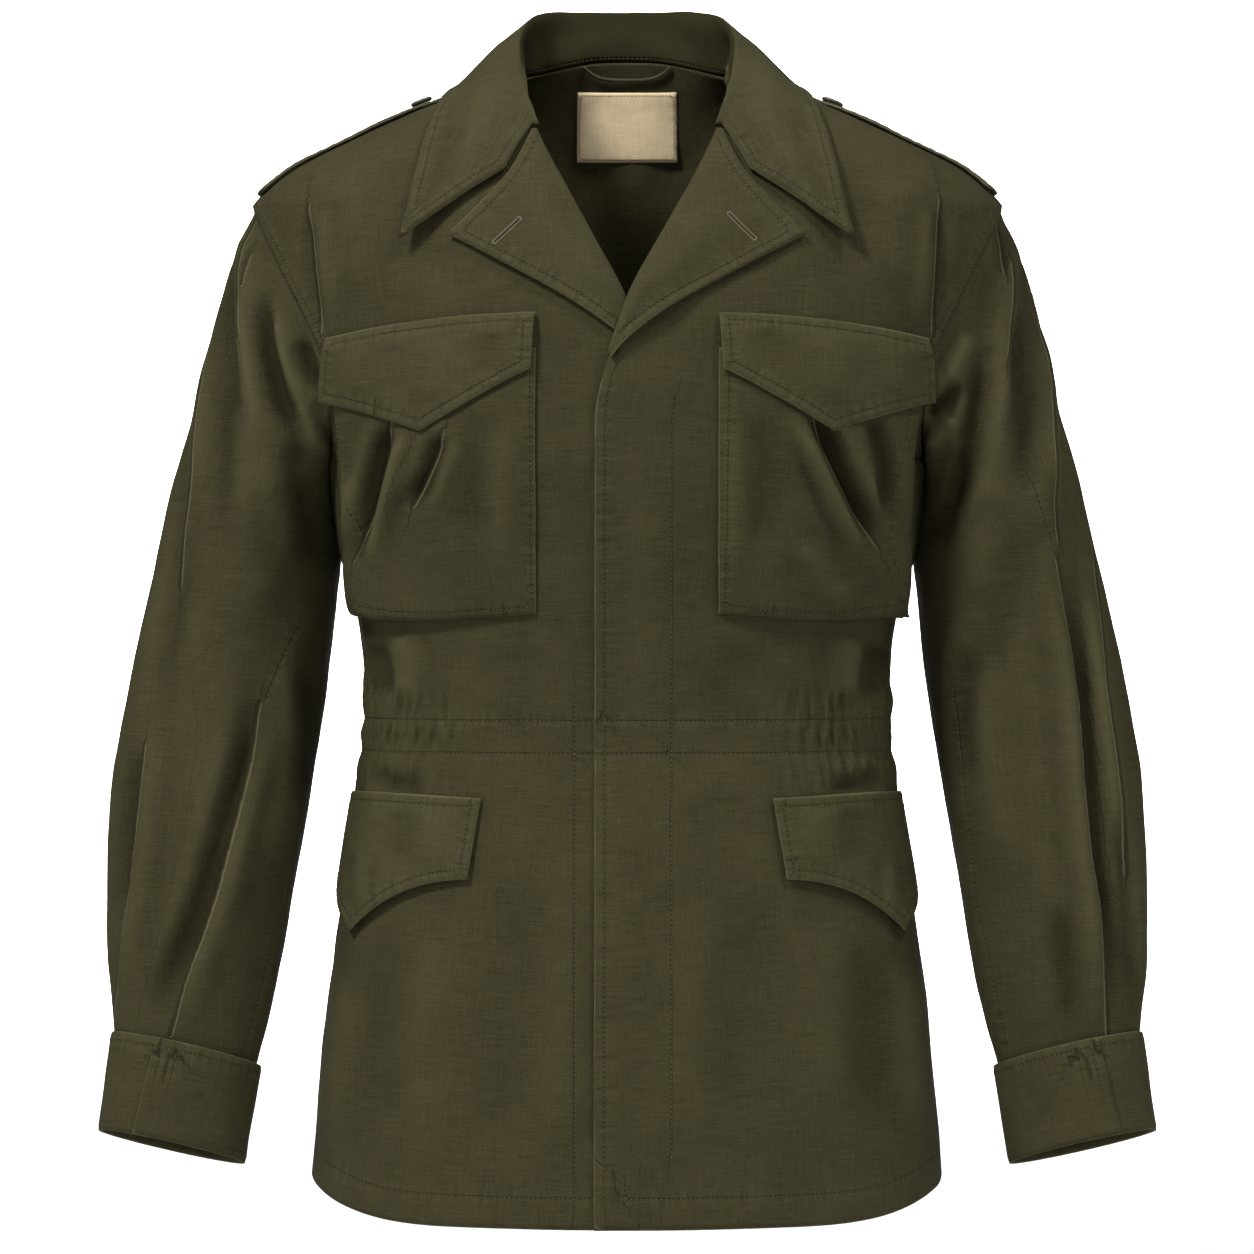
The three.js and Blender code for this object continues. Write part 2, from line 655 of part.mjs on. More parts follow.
// The lapel folds out at the roll line and lies on its front
function lapelRows(side) {
  const outerX = curve(LAPEL.outer, 's', 'x');
  const outerZ = curve(LAPEL.outer, 's', 'z');
  const name = side > 0 ? 'left' : 'right';
  const low = LAPEL.low[name];
  const high = LAPEL.gorge.z;
  const first = LAPEL.start[name];
  const grid = steps(LAPEL.rows).map((t) => {
    const rollZ = mix(low, high, t);
    const rollX = edgeAt(rollZ);
    const s = mix(first, 1, t);
    const base = CLOTH + liftOf(side, rollX, rollZ);
    const below = liftOf(side, rollX, rollZ) - CLOTH / 2;
    const radius = CLOTH / 2 + SEAM + DOUBLE;
    const row = LAPEL.turns.map((turn) => {
      const angle = angleAt(rollX - radius * Math.cos(turn * RAD) * 1.05, rollZ);
      return torso(angle, rollZ, below + radius * Math.sin(turn * RAD)).point;
    });
    steps(LAPEL.columns).forEach((v) => {
      const across = mix(LAPEL.reach, 1, v);
      let x = mix(rollX, outerX(s), across);
      let z = mix(rollZ, outerZ(s), across);
      const bend = LAPEL.bendAt;
      const corner = across < bend ? across / bend : 1 - (across - bend) / (1 - bend);
      const notch = corner * smooth(0.55, 1, t);
      x += notch * (LAPEL.notch.x - mix(LAPEL.gorge.x, LAPEL.tip.x, bend));
      z += notch * (LAPEL.notch.z - mix(high, LAPEL.tip.z, bend)) - SEAM * t;
      const roll = LAPEL.puff * Math.sin(Math.PI * Math.min(across * 1.6, 1)) * smooth(0, 0.3, t);
      const out = base + LAY + roll + LAPEL.edgeLift * smooth(0.5, 1, across);
      const under = liftOf(side, x, z) - liftOf(side, rollX, rollZ);
      row.push(torso(angleAt(x, z), z, out + under + DOUBLE - CLOTH + LAPEL.under).point);
    });
    return row;
  });
  const rows = withNormals(grid);
  return side > 0 ? rows : mirrored(rows);
}

// The neck seam at a collar station: over the back, the front's top row and down its edge
function neckSeam(q) {
  if (q <= COLLAR_SIDE) {
    const degrees = mix(180, 90, q / COLLAR_SIDE);
    const { point, normal } = torso(degrees * RAD, rowHeight(NECK_SIDE_Z, degrees));
    return { seam: point.addScaledVector(normal.setZ(0), -CLOTH), normal };
  }
  const last = COLLAR.length - 1;
  const edge = angleAt(edgeAt(NECK_SIDE_Z), NECK_SIDE_Z);
  if (q <= COLLAR_FRONT) {
    const { point, normal } = torso(mix(Math.PI / 2, edge, q - COLLAR_SIDE), NECK_SIDE_Z);
    return { seam: point.addScaledVector(normal.setZ(0), -CLOTH), normal };
  }
  const z = mix(NECK_SIDE_Z, LAPEL.gorge.z, (q - COLLAR_FRONT) / (last - COLLAR_FRONT));
  const inset = mix(1, COLLAR_CLOTH + 4 * SEAM, smooth(COLLAR_FRONT, COLLAR_FRONT + 0.4, q));
  const { point, normal } = torso(angleAt(edgeAt(z) - inset, z), z);
  return { seam: point.setZ(z - SEAM), normal };
}

// The collar: a stand that rises from the neck seam, rolls over and falls to its edge
function collarRows() {
  const columns = ['rx', 'ry', 'rz', 'ex', 'ey', 'ez'];
  const stations = COLLAR.map((row, i) => ({ ...row, q: i }));
  const at = Object.fromEntries(columns.map((name) => [name, curve(stations, 'q', name)]));
  const end = COLLAR.length - 1;
  const last = COLLAR[end];
  const place = (name, q) => new THREE.Vector3(at[name + 'x'](q), at[name + 'y'](q), at[name + 'z'](q));
  const up = new THREE.Vector3(0, 0, 1);
  const grid = steps(COLLAR_STEPS).map((t) => {
    const signed = (2 * t - 1) * end;
    const q = Math.abs(signed);
    const side = signed < 0 ? -1 : 1;
    const { seam, normal } = neckSeam(q);
    const hug = smooth(COLLAR_FRONT + 0.6, COLLAR_FRONT + 1.8, q);
    const roll = place('r', q);
    const edge = place('e', q);
    const fade = 1 - smooth(end - COLLAR_ROLL.fade, end, q);
    const out = new THREE.Vector3().subVectors(edge, roll).setZ(0).normalize();
    const gorge = smooth(end - COLLAR_ROLL.gorge, end, q);
    seam.addScaledVector(up, 3.4 * SEAM);
    const moved = (point, outBy, upBy) => point.addScaledVector(out, outBy).addScaledVector(up, upBy);
    const row = [
      seam,
      moved(seam.clone().lerp(roll, 0.5), COLLAR_ROLL.middle * fade - COLLAR_ROLL.tight, 0),
      moved(roll.clone(), COLLAR_ROLL.inner * fade - COLLAR_ROLL.tight, COLLAR_ROLL.innerDown * fade - SEAM),
      moved(roll.clone(), COLLAR_ROLL.crest * fade, 0),
      moved(roll.clone(), COLLAR_ROLL.outer * fade + 0.6, COLLAR_ROLL.outerDown * fade - 0.6),
    ];
    row[1].lerp(seam.clone().addScaledVector(normal, CLOTH), hug);
    row[2].lerp(seam.clone().addScaledVector(normal, CLOTH + COLLAR_CLOTH), hug);
    for (const v of COLLAR_ROLL.falls) {
      const point = roll.clone().lerp(edge, v);
      const puff = COLLAR_ROLL.puff * fade * (1 - v) + COLLAR_ROLL.belly * Math.sin(Math.PI * v);
      point.addScaledVector(out, puff);
      const bend = LAPEL.bendAt;
      const corner = v < bend ? v / bend : 1 - (v - bend) / (1 - bend);
      point.x += gorge * corner * (LAPEL.notch.x - mix(last.rx, last.ex, bend));
      point.z += gorge * (corner * (LAPEL.notch.z - mix(last.rz, last.ez, bend)) + 0.4);
      row.push(pushOut(point, COLLAR_CLOTH + LAY + 0.6 + 2.4 * smooth(0, 0.5, v)));
    }
    for (const i of [3, 4]) {
      if (row[i].y < 0 && q > COLLAR_FRONT) pushOut(row[i], COLLAR_CLOTH + LAY + 0.4);
    }
    row.forEach((point) => point.setX(point.x * side));
    return row;
  });
  return withNormals(grid[0].map((unused, j) => grid.map((row) => row[j])));
}

const pocketAngle = curve(POCKET_EDGE, 'z', 'angle');
const pocketOut = curve(POCKET_EDGE, 'z', 'out');

// How far the face of a chest pocket stands out from the torso at share w across it
function pocketRise(side, w, z) {
  const down = (CHEST_POCKET.top - z) / (CHEST_POCKET.top - CHEST_POCKET.bottom);
  const x = mix(CHEST_POCKET.inner, plainTorso(pocketAngle(z) * RAD, z).x, w);
  let out = mix(CHEST_POCKET.rim, pocketOut(z), w ** 1.4);
  const held = Math.min(Math.max(down, 0), 1);
  out += CHEST_POCKET.puff * Math.sin(Math.PI * w) * Math.sin(Math.PI * held ** 0.8);
  out += CHEST_POCKET.slump * smooth(0.6, 1, down) * Math.sin(Math.PI * Math.min(w * 1.1, 1));
  const inside = Math.min(w, 1 - w, 0.2) * 5;
  for (const fold of POCKET_FOLDS[side > 0 ? 'left' : 'right']) {
    out += inside * foldRise(fold, x, z, fold.x0, fold.z0, fold.x1, fold.z1);
  }
  return Math.max(out, CHEST_POCKET.rim);
}

function pocketAngleAt(w, z) {
  return mix(angleAt(CHEST_POCKET.inner, z), pocketAngle(z) * RAD, w);
}

function chestPocketRows(side) {
  const across = steps(9);
  const down = steps(10);
  const face = down.map((t) =>
    across.map((w) => {
      const sag = CHEST_POCKET.sag * Math.sin(Math.PI * w) * t;
      const z = mix(CHEST_POCKET.top, CHEST_POCKET.bottom, t) - sag;
      const out = pocketRise(side, w, z) + liftOf(side, CHEST_POCKET.inner, z);
      return torso(pocketAngleAt(w, z), z, out).point;
    }),
  );
  const onPanel = (w, z) => torso(pocketAngleAt(w, z), z, CHEST_POCKET.wall).point;
  const grid = face.map((row, i) => {
    const z = row[0].z;
    const last = row[row.length - 1].z;
    const left = onPanel(-CHEST_POCKET.inset, z);
    const right = onPanel(1 + CHEST_POCKET.inset, last);
    return [left, ...row, right];
  });
  const lowZ = (w) => CHEST_POCKET.bottom - CHEST_POCKET.sag * Math.sin(Math.PI * w) - 1.2;
  const foot = across.map((w) => onPanel(w, lowZ(w)));
  const corner = (side) => onPanel(side + CHEST_POCKET.inset * (2 * side - 1), lowZ(side) + 0.2);
  grid.push([corner(0), ...foot, corner(1)]);
  grid.reverse();
  const rows = withNormals(grid);
  return side > 0 ? rows : mirrored(rows);
}

function chestFlapRows(side) {
  const flap = CHEST_FLAP;
  const grid = steps(5).map((v) =>
    steps(12).map((w) => {
      const top = mix(flap.top0, flap.top1, w) + flap.arch * Math.sin(Math.PI * w);
      const toPoint = 1 - Math.abs(2 * w - 1);
      const low = mix(flap.low0, flap.low1, w);
      const bottom = low + (flap.point - (flap.low0 + flap.low1) / 2) * toPoint ** 1.12;
      const z = mix(bottom, top, v);
      const x = mix(flap.x0, flap.x1, w) + mix(2.2, 0, v) * (1 - w);
      const angle = Math.min(angleAt(x, z), flap.widest * RAD);
      const start = angleAt(CHEST_POCKET.inner, z);
      const across = (angle - start) / (pocketAngle(z) * RAD - start);
      const held = Math.min(Math.max(across, 0), 1);
      const below = pocketRise(side, held, Math.min(z, CHEST_POCKET.top));
      const over = smooth(0, 9, top - z);
      const out = mix(DOUBLE + LAY, below + DOUBLE + 1.1, over);
      return torso(angle, z, out + liftOf(side, Math.max(x, 60), z)).point;
    }),
  );
  const rows = withNormals(grid);
  return side > 0 ? rows : mirrored(rows);
}

function hipFlapRows(side) {
  const flap = HIP_FLAP;
  const grid = steps(5).map((v) =>
    steps(14).map((w) => {
      const top = flap.top + flap.arch * Math.sin(Math.PI * w);
      const toPoint = 1 - Math.abs(2 * w - 1);
      const bottom = flap.low + (flap.point - flap.low) * toPoint ** flap.hook;
      const z = mix(bottom, top, v);
      const angle = mix(flap.a0 + flap.slant * (1 - v), flap.a1, w);
      const puff = flap.puff * Math.sin(Math.PI * w) * (1 - v);
      const out = DOUBLE + flap.under + puff + flap.edgeLift * (1 - v);
      return torso(angle * RAD, z, out).point;
    }),
  );
  const rows = withNormals(grid);
  return side > 0 ? rows : mirrored(rows);
}

// The armhole loop of one side, from the shoulder down the front and up the back
function armholeLoop(side) {
  const front = [...ARMHOLE_HEIGHTS].reverse();
  const back = ARMHOLE_HEIGHTS.slice(1, -1);
  const at = (z, angle) => {
    const place = torso(side * angle, z);
    place.point.x *= side;
    place.normal.x *= side;
    const inside = torso(side * (angle > Math.PI / 2 ? angle + 0.03 : angle - 0.03), z).point;
    inside.x *= side;
    return { ...place, outwards: place.point.clone().sub(inside).normalize() };
  };
  return [
    ...front.map((z) => at(z, outerAngle(z, ARMHOLE.front, frontAt))),
    ...back.map((z) => at(z, Math.PI - outerAngle(z, ARMHOLE.back, backAt))),
  ];
}

// The sleeve sits under the panels' edge at the shoulder and outside it at the armpit
function sleeveStart(place, k, count) {
  const high = (place.point.z - ARMPIT_Z) / (SHOULDER_Z - ARMPIT_Z);
  const under = mix(-CAP.proud, CLOTH + CAP.under, smooth(CAP.thinFrom, CAP.thinTo, high));
  const across = place.outwards.clone();
  if (k === 0) across.set(CAP.crown.x, 0, CAP.crown.z);
  if (k === count / 2) across.set(0, 0, 1);
  return place.point.clone().addScaledVector(across, CAP.step).addScaledVector(place.normal, -under);
}

function ringPoint(ring, degrees) {
  const lean = ring.lean * RAD;
  const pitch = ring.pitch * RAD;
  const u = new THREE.Vector3(Math.cos(lean), 0, Math.sin(lean));
  const v = new THREE.Vector3(0, -Math.cos(pitch), Math.sin(pitch));
  return new THREE.Vector3(ring.x, ring.y, ring.z)
    .addScaledVector(u, ring.half * Math.cos(degrees * RAD))
    .addScaledVector(v, ring.deep * Math.sin(degrees * RAD));
}

const ringColumns = ['x', 'y', 'z', 'half', 'deep', 'lean', 'pitch'];
const levelRows = SLEEVE.map((row, i) => ({ ...row, level: i }));
const ringAt = Object.fromEntries(ringColumns.map((name) => [name, curve(levelRows, 'level', name)]));
const sleeveRing = (level) => Object.fromEntries(ringColumns.map((name) => [name, ringAt[name](level)]));

function sleeveRise(side, level, degrees) {
  let rise = 0;
  for (const fold of SLEEVE_FOLDS[side > 0 ? 'left' : 'right']) {
    rise += foldRise(fold, degrees, level, fold.a0, fold.l0, fold.a1, fold.l1);
  }
  return rise;
}

function sleeveRows(side) {
  const loop = armholeLoop(side);
  const count = loop.length;
  const first = sleeveRing(0);
  const down = new THREE.Vector3(CAP.fall, 0, -1).normalize();
  const smoothGrid = CAP_STEPS.map((t) =>
    loop.map((place, k) => {
      const start = sleeveStart(place, k, count);
      const end = ringPoint(first, (360 * k) / count);
      const reach = start.distanceTo(end);
      const leave = new THREE.Vector3(CAP.lean, 0, -1).addScaledVector(place.outwards, CAP.spread);
      leave.normalize().multiplyScalar(reach);
      const arrive = down.clone().multiplyScalar(reach);
      const rest = 1 - t;
      const outer = Math.sqrt(Math.max(Math.cos((2 * Math.PI * k) / count), 0));
      const held = smooth(0, CAP.bulgeFull, t) * (1 - smooth(CAP.bulgeHold, CAP.bulgeGone, t));
      return new THREE.Vector3(CAP.bulge * outer * held, 0, 0)
        .addScaledVector(start, (1 + 2 * t) * rest * rest)
        .addScaledVector(leave, t * rest * rest)
        .addScaledVector(end, t * t * (3 - 2 * t))
        .addScaledVector(arrive, -t * t * rest);
    }),
  );
  for (const level of SLEEVE_LEVELS) {
    smoothGrid.push(loop.map((unused, k) => ringPoint(sleeveRing(level), (360 * k) / count)));
  }
  const levels = [...CAP_STEPS.map((t) => t - 1), ...SLEEVE_LEVELS];
  for (const row of smoothGrid) row.push(row[0].clone());
  smoothGrid.forEach((row) => row.reverse());
  smoothGrid.reverse();
  levels.reverse();
  const rows = withNormals(smoothGrid, true);
  const folded = rows.map((row, i) =>
    row.map(({ point, normal }, j) => {
      const degrees = 360 * (1 - j / count);
      const edges = smooth(-1, -0.8, levels[i]) * (1 - smooth(6.6, 7, levels[i]));
      const turn = degrees >= 359.9 ? 0 : degrees;
      return point.clone().addScaledVector(normal, edges * sleeveRise(side, levels[i], turn));
    }),
  );
  const made = withNormals(folded, true);
  return side > 0 ? made : mirrored(made);
}

// The cuff: a band whose end lies over its start, with a slanting slit in front
function cuffRows(side) {
  const { top, bottom } = CUFF;
  const grid = steps(CUFF.rows).map((v) =>
    steps(CUFF.columns).map((t) => {
      const slit = mix(CUFF.slitBottom, CUFF.slitTop, v);
      const degrees = slit - CUFF.overlap + (360 + CUFF.overlap) * t;
      const over = CUFF.step * smooth(1 - 50 / 360, 1 - 26 / 360, t);
      const ring = Object.fromEntries(ringColumns.map((name) => [name, mix(bottom[name], top[name], v)]));
      ring.half += over;
      ring.deep += over;
      return ringPoint(ring, -degrees + 2 * slit);
    }),
  );
  const rows = withNormals(grid);
  return side > 0 ? rows : mirrored(rows);
}

// The height of the torso's surface over a place near the shoulder seam
function shoulderHeight(x, y) {
  let low = -120;
  let high = 17;
  for (let i = 0; i < 30; i += 1) {
    const z = (low + high) / 2;
    const depth = y < 0 ? frontAt(z) : backAt(z);
    const size = (Math.abs(x) / halfAt(z)) ** ROUND + (Math.abs(y) / depth) ** ROUND;
    if (size > 1) high = z;
    else low = z;
  }
  return low;
}

function strapRows(side) {
  const grid = steps(STRAP.columns).map((v) =>
    steps(STRAP.rows).map((t) => {
      const bend = STRAP.hollow * (STRAP.half * (1 - 2 * v)) ** 2;
      const x = mix(STRAP.tip, STRAP.end - bend, t ** 1.15);
      const share = (x - STRAP.tip) / (STRAP.shoulder - STRAP.tip);
      const taper = Math.min(1, mix(STRAP.blunt, 1, share));
      const y = STRAP.y + STRAP.half * taper * (2 * v - 1);
      const z = shoulderHeight(x, y);
      const slope = shoulderHeight(x + 2, y) - shoulderHeight(x - 2, y);
      const lean = shoulderHeight(x, y + 2) - shoulderHeight(x, y - 2);
      const normal = new THREE.Vector3(-slope, -lean, 4).normalize();
      const out = STRAP.cloth + STRAP.under + STRAP.bow * Math.sin(Math.PI * v);
      return new THREE.Vector3(x, y, z).addScaledVector(normal, out);
    }),
  );
  const rows = withNormals(grid);
  return side > 0 ? rows : mirrored(rows);
}

// A sewn button on the pointed end of a shoulder strap
function strapButton(side) {
  const { radius, thick } = BUTTON;
  const profile = [
    new THREE.Vector2(0, 0),
    new THREE.Vector2(radius * 0.86, 0),
    new THREE.Vector2(radius, thick * 0.45),
    new THREE.Vector2(radius * 0.92, thick),
    new THREE.Vector2(radius * 0.68, thick * 0.8),
    new THREE.Vector2(0, thick * 0.7),
  ];
  const geometry = new THREE.LatheGeometry(profile, BUTTON.sides);
  geometry.rotateX(Math.PI / 2);
  const x = BUTTON.x;
  const reach = BUTTON.radius;
  const drop = shoulderHeight(x + reach, STRAP.y) - shoulderHeight(x - reach, STRAP.y);
  const slope = drop / (2 * reach);
  geometry.rotateY(-Math.atan(slope));
  geometry.translate(x, STRAP.y, shoulderHeight(x, STRAP.y) + STRAP.cloth + BUTTON.rise);
  if (side < 0) geometry.rotateZ(Math.PI).translate(0, 2 * STRAP.y, 0);
  return geometry;
}

function labelRows() {
  const depth = CLOTH + LAY + SEAM + LABEL.cloth;
  const grid = steps(4).map((v) =>
    steps(8).map((t) => {
      const z = mix(LABEL.low, LABEL.high, v);
      const angle = Math.PI - angleAt(mix(-LABEL.half, LABEL.half, t), z);
      return torso(angle, z, -depth).point;
    }),
  );
  return withNormals(grid);
}

// The hanger loop: a round tape that sags from the neck seam
function loopRows() {
  const wallY = (x, z) => torso(Math.PI - angleAt(x, z), z).point.y;
  const grid = steps(LOOP.steps).map((t) => {
    const x = mix(-LOOP.half, LOOP.half, t);
    const drop = 1 - Math.abs(2 * t - 1) ** 4;
    const z = LOOP.z - LOOP.sag * drop;
    const y = wallY(x, z) - CLOTH - LOOP.gap - LOOP.radius * 1.6;
    return steps(LOOP.sides).map((turn) => {
      const angle = 2 * Math.PI * turn;
      return new THREE.Vector3(x, y + LOOP.radius * Math.cos(angle), z + LOOP.radius * Math.sin(angle));
    });
  });
  return grid;
}

// A rod through rings of points, closed at both ends
function rod(rings) {
  const sides = rings[0].length - 1;
  const positions = rings.flatMap((ring) => ring.slice(0, sides));
  const triangles = [];
  for (let i = 0; i < rings.length - 1; i += 1) {
    for (let j = 0; j < sides; j += 1) {
      const a = i * sides + j;
      const b = i * sides + ((j + 1) % sides);
      triangles.push([a, b, b + sides], [a, b + sides, a + sides]);
    }
  }
  const lastRing = (rings.length - 1) * sides;
  for (let j = 1; j < sides - 1; j += 1) {
    triangles.push([0, j + 1, j], [lastRing, lastRing + j, lastRing + j + 1]);
  }
  const geometry = new THREE.BufferGeometry();
  geometry.setAttribute(
    'position',
    new THREE.Float32BufferAttribute(positions.flatMap((p) => [p.x, p.y, p.z]), 3),
  );
  geometry.setIndex(triangles.flat());
  return geometry;
}

for (const [name, side] of [['left', 1], ['right', -1]]) {
  add('front_' + name, wall(frontRows(side), CLOTH));
  add('sleeve_' + name, wall(sleeveRows(side), CLOTH, true));
  add('cuff_' + name, wall(cuffRows(side), CLOTH));
  add('lapel_' + name, wall(lapelRows(side), DOUBLE));
  add('chest_pocket_' + name, wall(chestPocketRows(side), DOUBLE));
  add('chest_flap_' + name, wall(chestFlapRows(side), DOUBLE));
  add('hip_flap_' + name, wall(hipFlapRows(side), DOUBLE));
  add('shoulder_strap_' + name, wall(strapRows(side), STRAP.cloth));
  add('strap_button_' + name, strapButton(side), HORN);
}
add('back', wall(backRows(), CLOTH));
add('collar', wall(collarRows(), COLLAR_CLOTH));
add('neck_label', wall(labelRows(), LABEL.cloth), LINEN);
add('hanger_loop', rod(loopRows()));

export default jacket;
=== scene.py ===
"""A field jacket, filled out as it is worn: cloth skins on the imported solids, with folds and stitching."""

import logging
import math
from dataclasses import dataclass
from enum import Enum
from typing import Callable, Iterable, Optional, Sequence, Union

import bmesh
import bpy
import numpy as np
from mathutils import Matrix, Vector, noise
from mathutils.bvhtree import BVHTree
from mathutils.kdtree import KDTree


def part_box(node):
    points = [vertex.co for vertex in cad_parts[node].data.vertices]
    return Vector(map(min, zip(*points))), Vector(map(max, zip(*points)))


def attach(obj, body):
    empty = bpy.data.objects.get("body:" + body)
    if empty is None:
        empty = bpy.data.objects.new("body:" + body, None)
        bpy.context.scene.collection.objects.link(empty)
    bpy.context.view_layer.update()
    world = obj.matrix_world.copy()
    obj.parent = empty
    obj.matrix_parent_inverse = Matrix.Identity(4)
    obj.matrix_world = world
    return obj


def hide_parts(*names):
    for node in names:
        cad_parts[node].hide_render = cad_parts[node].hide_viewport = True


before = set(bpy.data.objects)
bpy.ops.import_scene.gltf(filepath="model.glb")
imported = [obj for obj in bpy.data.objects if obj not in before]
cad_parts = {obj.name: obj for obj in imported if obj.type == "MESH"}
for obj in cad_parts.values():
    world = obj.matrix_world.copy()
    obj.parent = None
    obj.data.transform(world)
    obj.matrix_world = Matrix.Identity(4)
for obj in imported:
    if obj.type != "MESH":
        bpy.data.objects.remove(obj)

LOG = logging.getLogger("field_jacket")
MM = 0.001
BODY = "root"

Pixels = tuple[tuple[float, float], ...]
Number = Union[float, "Socket"]


def smooth(low: float, high: float, value: np.ndarray) -> np.ndarray:
    """Rises softly from 0 to 1 between two values."""
    share = np.clip((value - low) / (high - low), 0.0, 1.0)
    return share * share * (3.0 - 2.0 * share)


class Facing(Enum):
    """Which way the cloth looks where a fold or a seam lies."""

    FRONT = -1.0
    BACK = 1.0
    SIDE = 0.0


class Edge(Enum):
    """The stretches of a piece's edge along which a row of stitching may run."""

    ALL = "all"
    FRONT = "front"
    HEM = "hem"
    ARMHOLE = "armhole"
    SIDE = "side"
    SHOULDER = "shoulder"
    LAPEL = "lapel"
    COLLAR = "collar"
    STAND = "stand"
    CUFF = "cuff"
    OPEN = "open"
    NONE = "none"


@dataclass(frozen=True)
class View:
    """The camera's level view of the front, in whose plane through the origin folds are placed."""

    distance: float = 3.0
    height: float = -0.3447
    lens: float = 131.7
    sensor: float = 36.0
    centre_px: float = 627.5
    level_px: float = 100.0
    mm_per_px: float = 0.654

    def plane(self, points: np.ndarray) -> np.ndarray:
        """Gives where points appear in the plane through the origin.

        Args:
            points: Places of the jacket, in metres.

        Returns:
            Their x and z in that plane, in metres.
        """
        scale = self.distance / (self.distance + points[:, 1])
        x = points[:, 0] * scale
        z = self.height + (points[:, 2] - self.height) * scale
        return np.stack([x, z], axis=1)

    def places(self, pixels: Pixels) -> np.ndarray:
        """Gives the plane's x and z, in metres, of places in the view's pixels."""
        values = np.array(pixels, float)
        x = (values[:, 0] - self.centre_px) * self.mm_per_px * MM
        z = (self.level_px - values[:, 1]) * self.mm_per_px * MM
        return np.stack([x, z], axis=1)

    def ray(self, x: float, z: float, facing: Facing) -> tuple[Vector, Vector]:
        """Gives the start and direction of the sight line through a place of the plane.

        Args:
            x: Across, in metres.
            z: Up, in metres.
            facing: Whether the line comes from the front or from the back.

        Returns:
            Its start and its direction.
        """
        if facing is Facing.BACK:
            return Vector((x, 1.0, z)), Vector((0.0, -1.0, 0.0))
        start = Vector((0.0, -self.distance, self.height))
        return start, (Vector((x, 0.0, z)) - start).normalized()


VIEW = View()


@dataclass(frozen=True)
class Fold:
    """A soft ridge, or a trough where the rise is below zero, along a line of the view.

    The line runs down the view. Its two sides may fall off unlike each other, as on a pleat. The fold
    also gets painted light on its ridge and painted shade in its trough, as much as its share says.
    """

    pixels: Pixels
    rise: float
    wide: float
    facing: Facing = Facing.FRONT
    lip: float = 0.3
    left: float = 1.0
    right: float = 1.0
    # How much painted light and shade the fold's ridge and trough get.
    painted_shading: float = 1.0

    def lift(self, plane: np.ndarray, looks: np.ndarray) -> np.ndarray:
        """Gives how far the fold lifts each place.

        Args:
            plane: The places in the view's plane, in metres.
            looks: The Y part of the cloth's direction at each place.

        Returns:
            The lift of each place, in metres.
        """
        line = VIEW.places(self.pixels)
        steps = np.diff(line, axis=0)
        lengths = np.linalg.norm(steps, axis=1)
        starts = np.concatenate([[0.0], np.cumsum(lengths)])
        best = np.full(len(plane), 1e9)
        along = np.zeros(len(plane))
        side = np.zeros(len(plane))
        for start, step, length, passed in zip(line, steps, lengths, starts):
            from_start = plane - start
            share = np.clip((from_start @ step) / (length * length), 0.0, 1.0)
            off = np.linalg.norm(from_start - share[:, None] * step, axis=1)
            nearer = off < best
            best = np.where(nearer, off, best)
            along = np.where(nearer, passed + share * length, along)
            turn = step[0] * from_start[:, 1] - step[1] * from_start[:, 0]
            side = np.where(nearer, turn, side)
        share = along / starts[-1]
        ends = smooth(0.0, 0.22, share) * (1.0 - smooth(0.7, 1.0, share))
        wide = self.wide * MM * np.where(side > 0, self.right, self.left)
        reach = best / wide
        profile = np.exp(-reach * reach) - self.lip * np.exp(-((reach - 1.9) ** 2) * 1.6)
        seen = smooth(-0.15, 0.25, looks * self.facing.value) if self.facing.value else 1.0
        return 1.45 * self.rise * MM * ends * profile * seen

    def painted_light_and_shade(self, rise: np.ndarray) -> np.ndarray:
        """Gives the painted light on the fold's ridge and the painted shade in its trough at each place."""
        return rise / MM * self.painted_shading * min(1.0, (7.0 / self.wide) ** 2)


@dataclass(frozen=True)
class Seam:
    """A row of stitches: at a distance from an edge, along a line of the view or at one height.

    With no pitch it is a crease without stitches: a painted highlight, with a painted shadow on the
    viewer's left of a line that runs down, or on the right where dark is 1.
    """

    inset: float = 0.0
    edge: Edge = Edge.ALL
    pixels: Pixels = ()
    level: Optional[float] = None
    facing: Facing = Facing.FRONT
    pitch: float = 3.1
    puckers: bool = True
    # Which side of a crease gets the painted shadow.
    dark: float = -1.0


def on_edge(edge: Edge, p: Vector) -> bool:
    """Tells whether a place of a piece's boundary belongs to a stretch of it.

    Args:
        edge: The stretch.
        p: The place, in metres.

    Returns:
        True if it does.
    """
    x, y, z = abs(p.x), p.y, p.z
    if edge is Edge.ALL:
        return True
    if edge is Edge.NONE:
        return False
    if edge is Edge.HEM:
        return z < -0.694
    if edge is Edge.OPEN:
        return z < -0.694 or (x < 0.03 and z < -0.19 and y < 0)
    if edge is Edge.FRONT:
        return x < 0.03 and -0.71 < z < -0.19 and y < 0
    if edge is Edge.ARMHOLE:
        return x > 0.15 and -0.2385 < z < -0.0705
    if edge is Edge.SIDE:
        return x > 0.15 and -0.7 < z < -0.242
    if edge is Edge.SHOULDER:
        return x > 0.09 and z > -0.069
    if edge is Edge.LAPEL:
        roll = np.interp(z, [-0.18, -0.14, -0.084, -0.026], [-0.014, 0.001, 0.0305, 0.0595])
        return p.x * (1 if p.x > 0 else -1) > roll + 0.009 or z < -0.18
    if edge is Edge.CUFF:
        low = np.interp(x, [0.25, 0.345], [-0.6955, -0.6735])
        return z < low + 0.008 or z > low + 0.055
    seam = x < 0.0845 and (z > 0.012 or (y < 0 and z > -0.031))
    if edge is Edge.STAND:
        return seam and y > 0.02
    return not seam


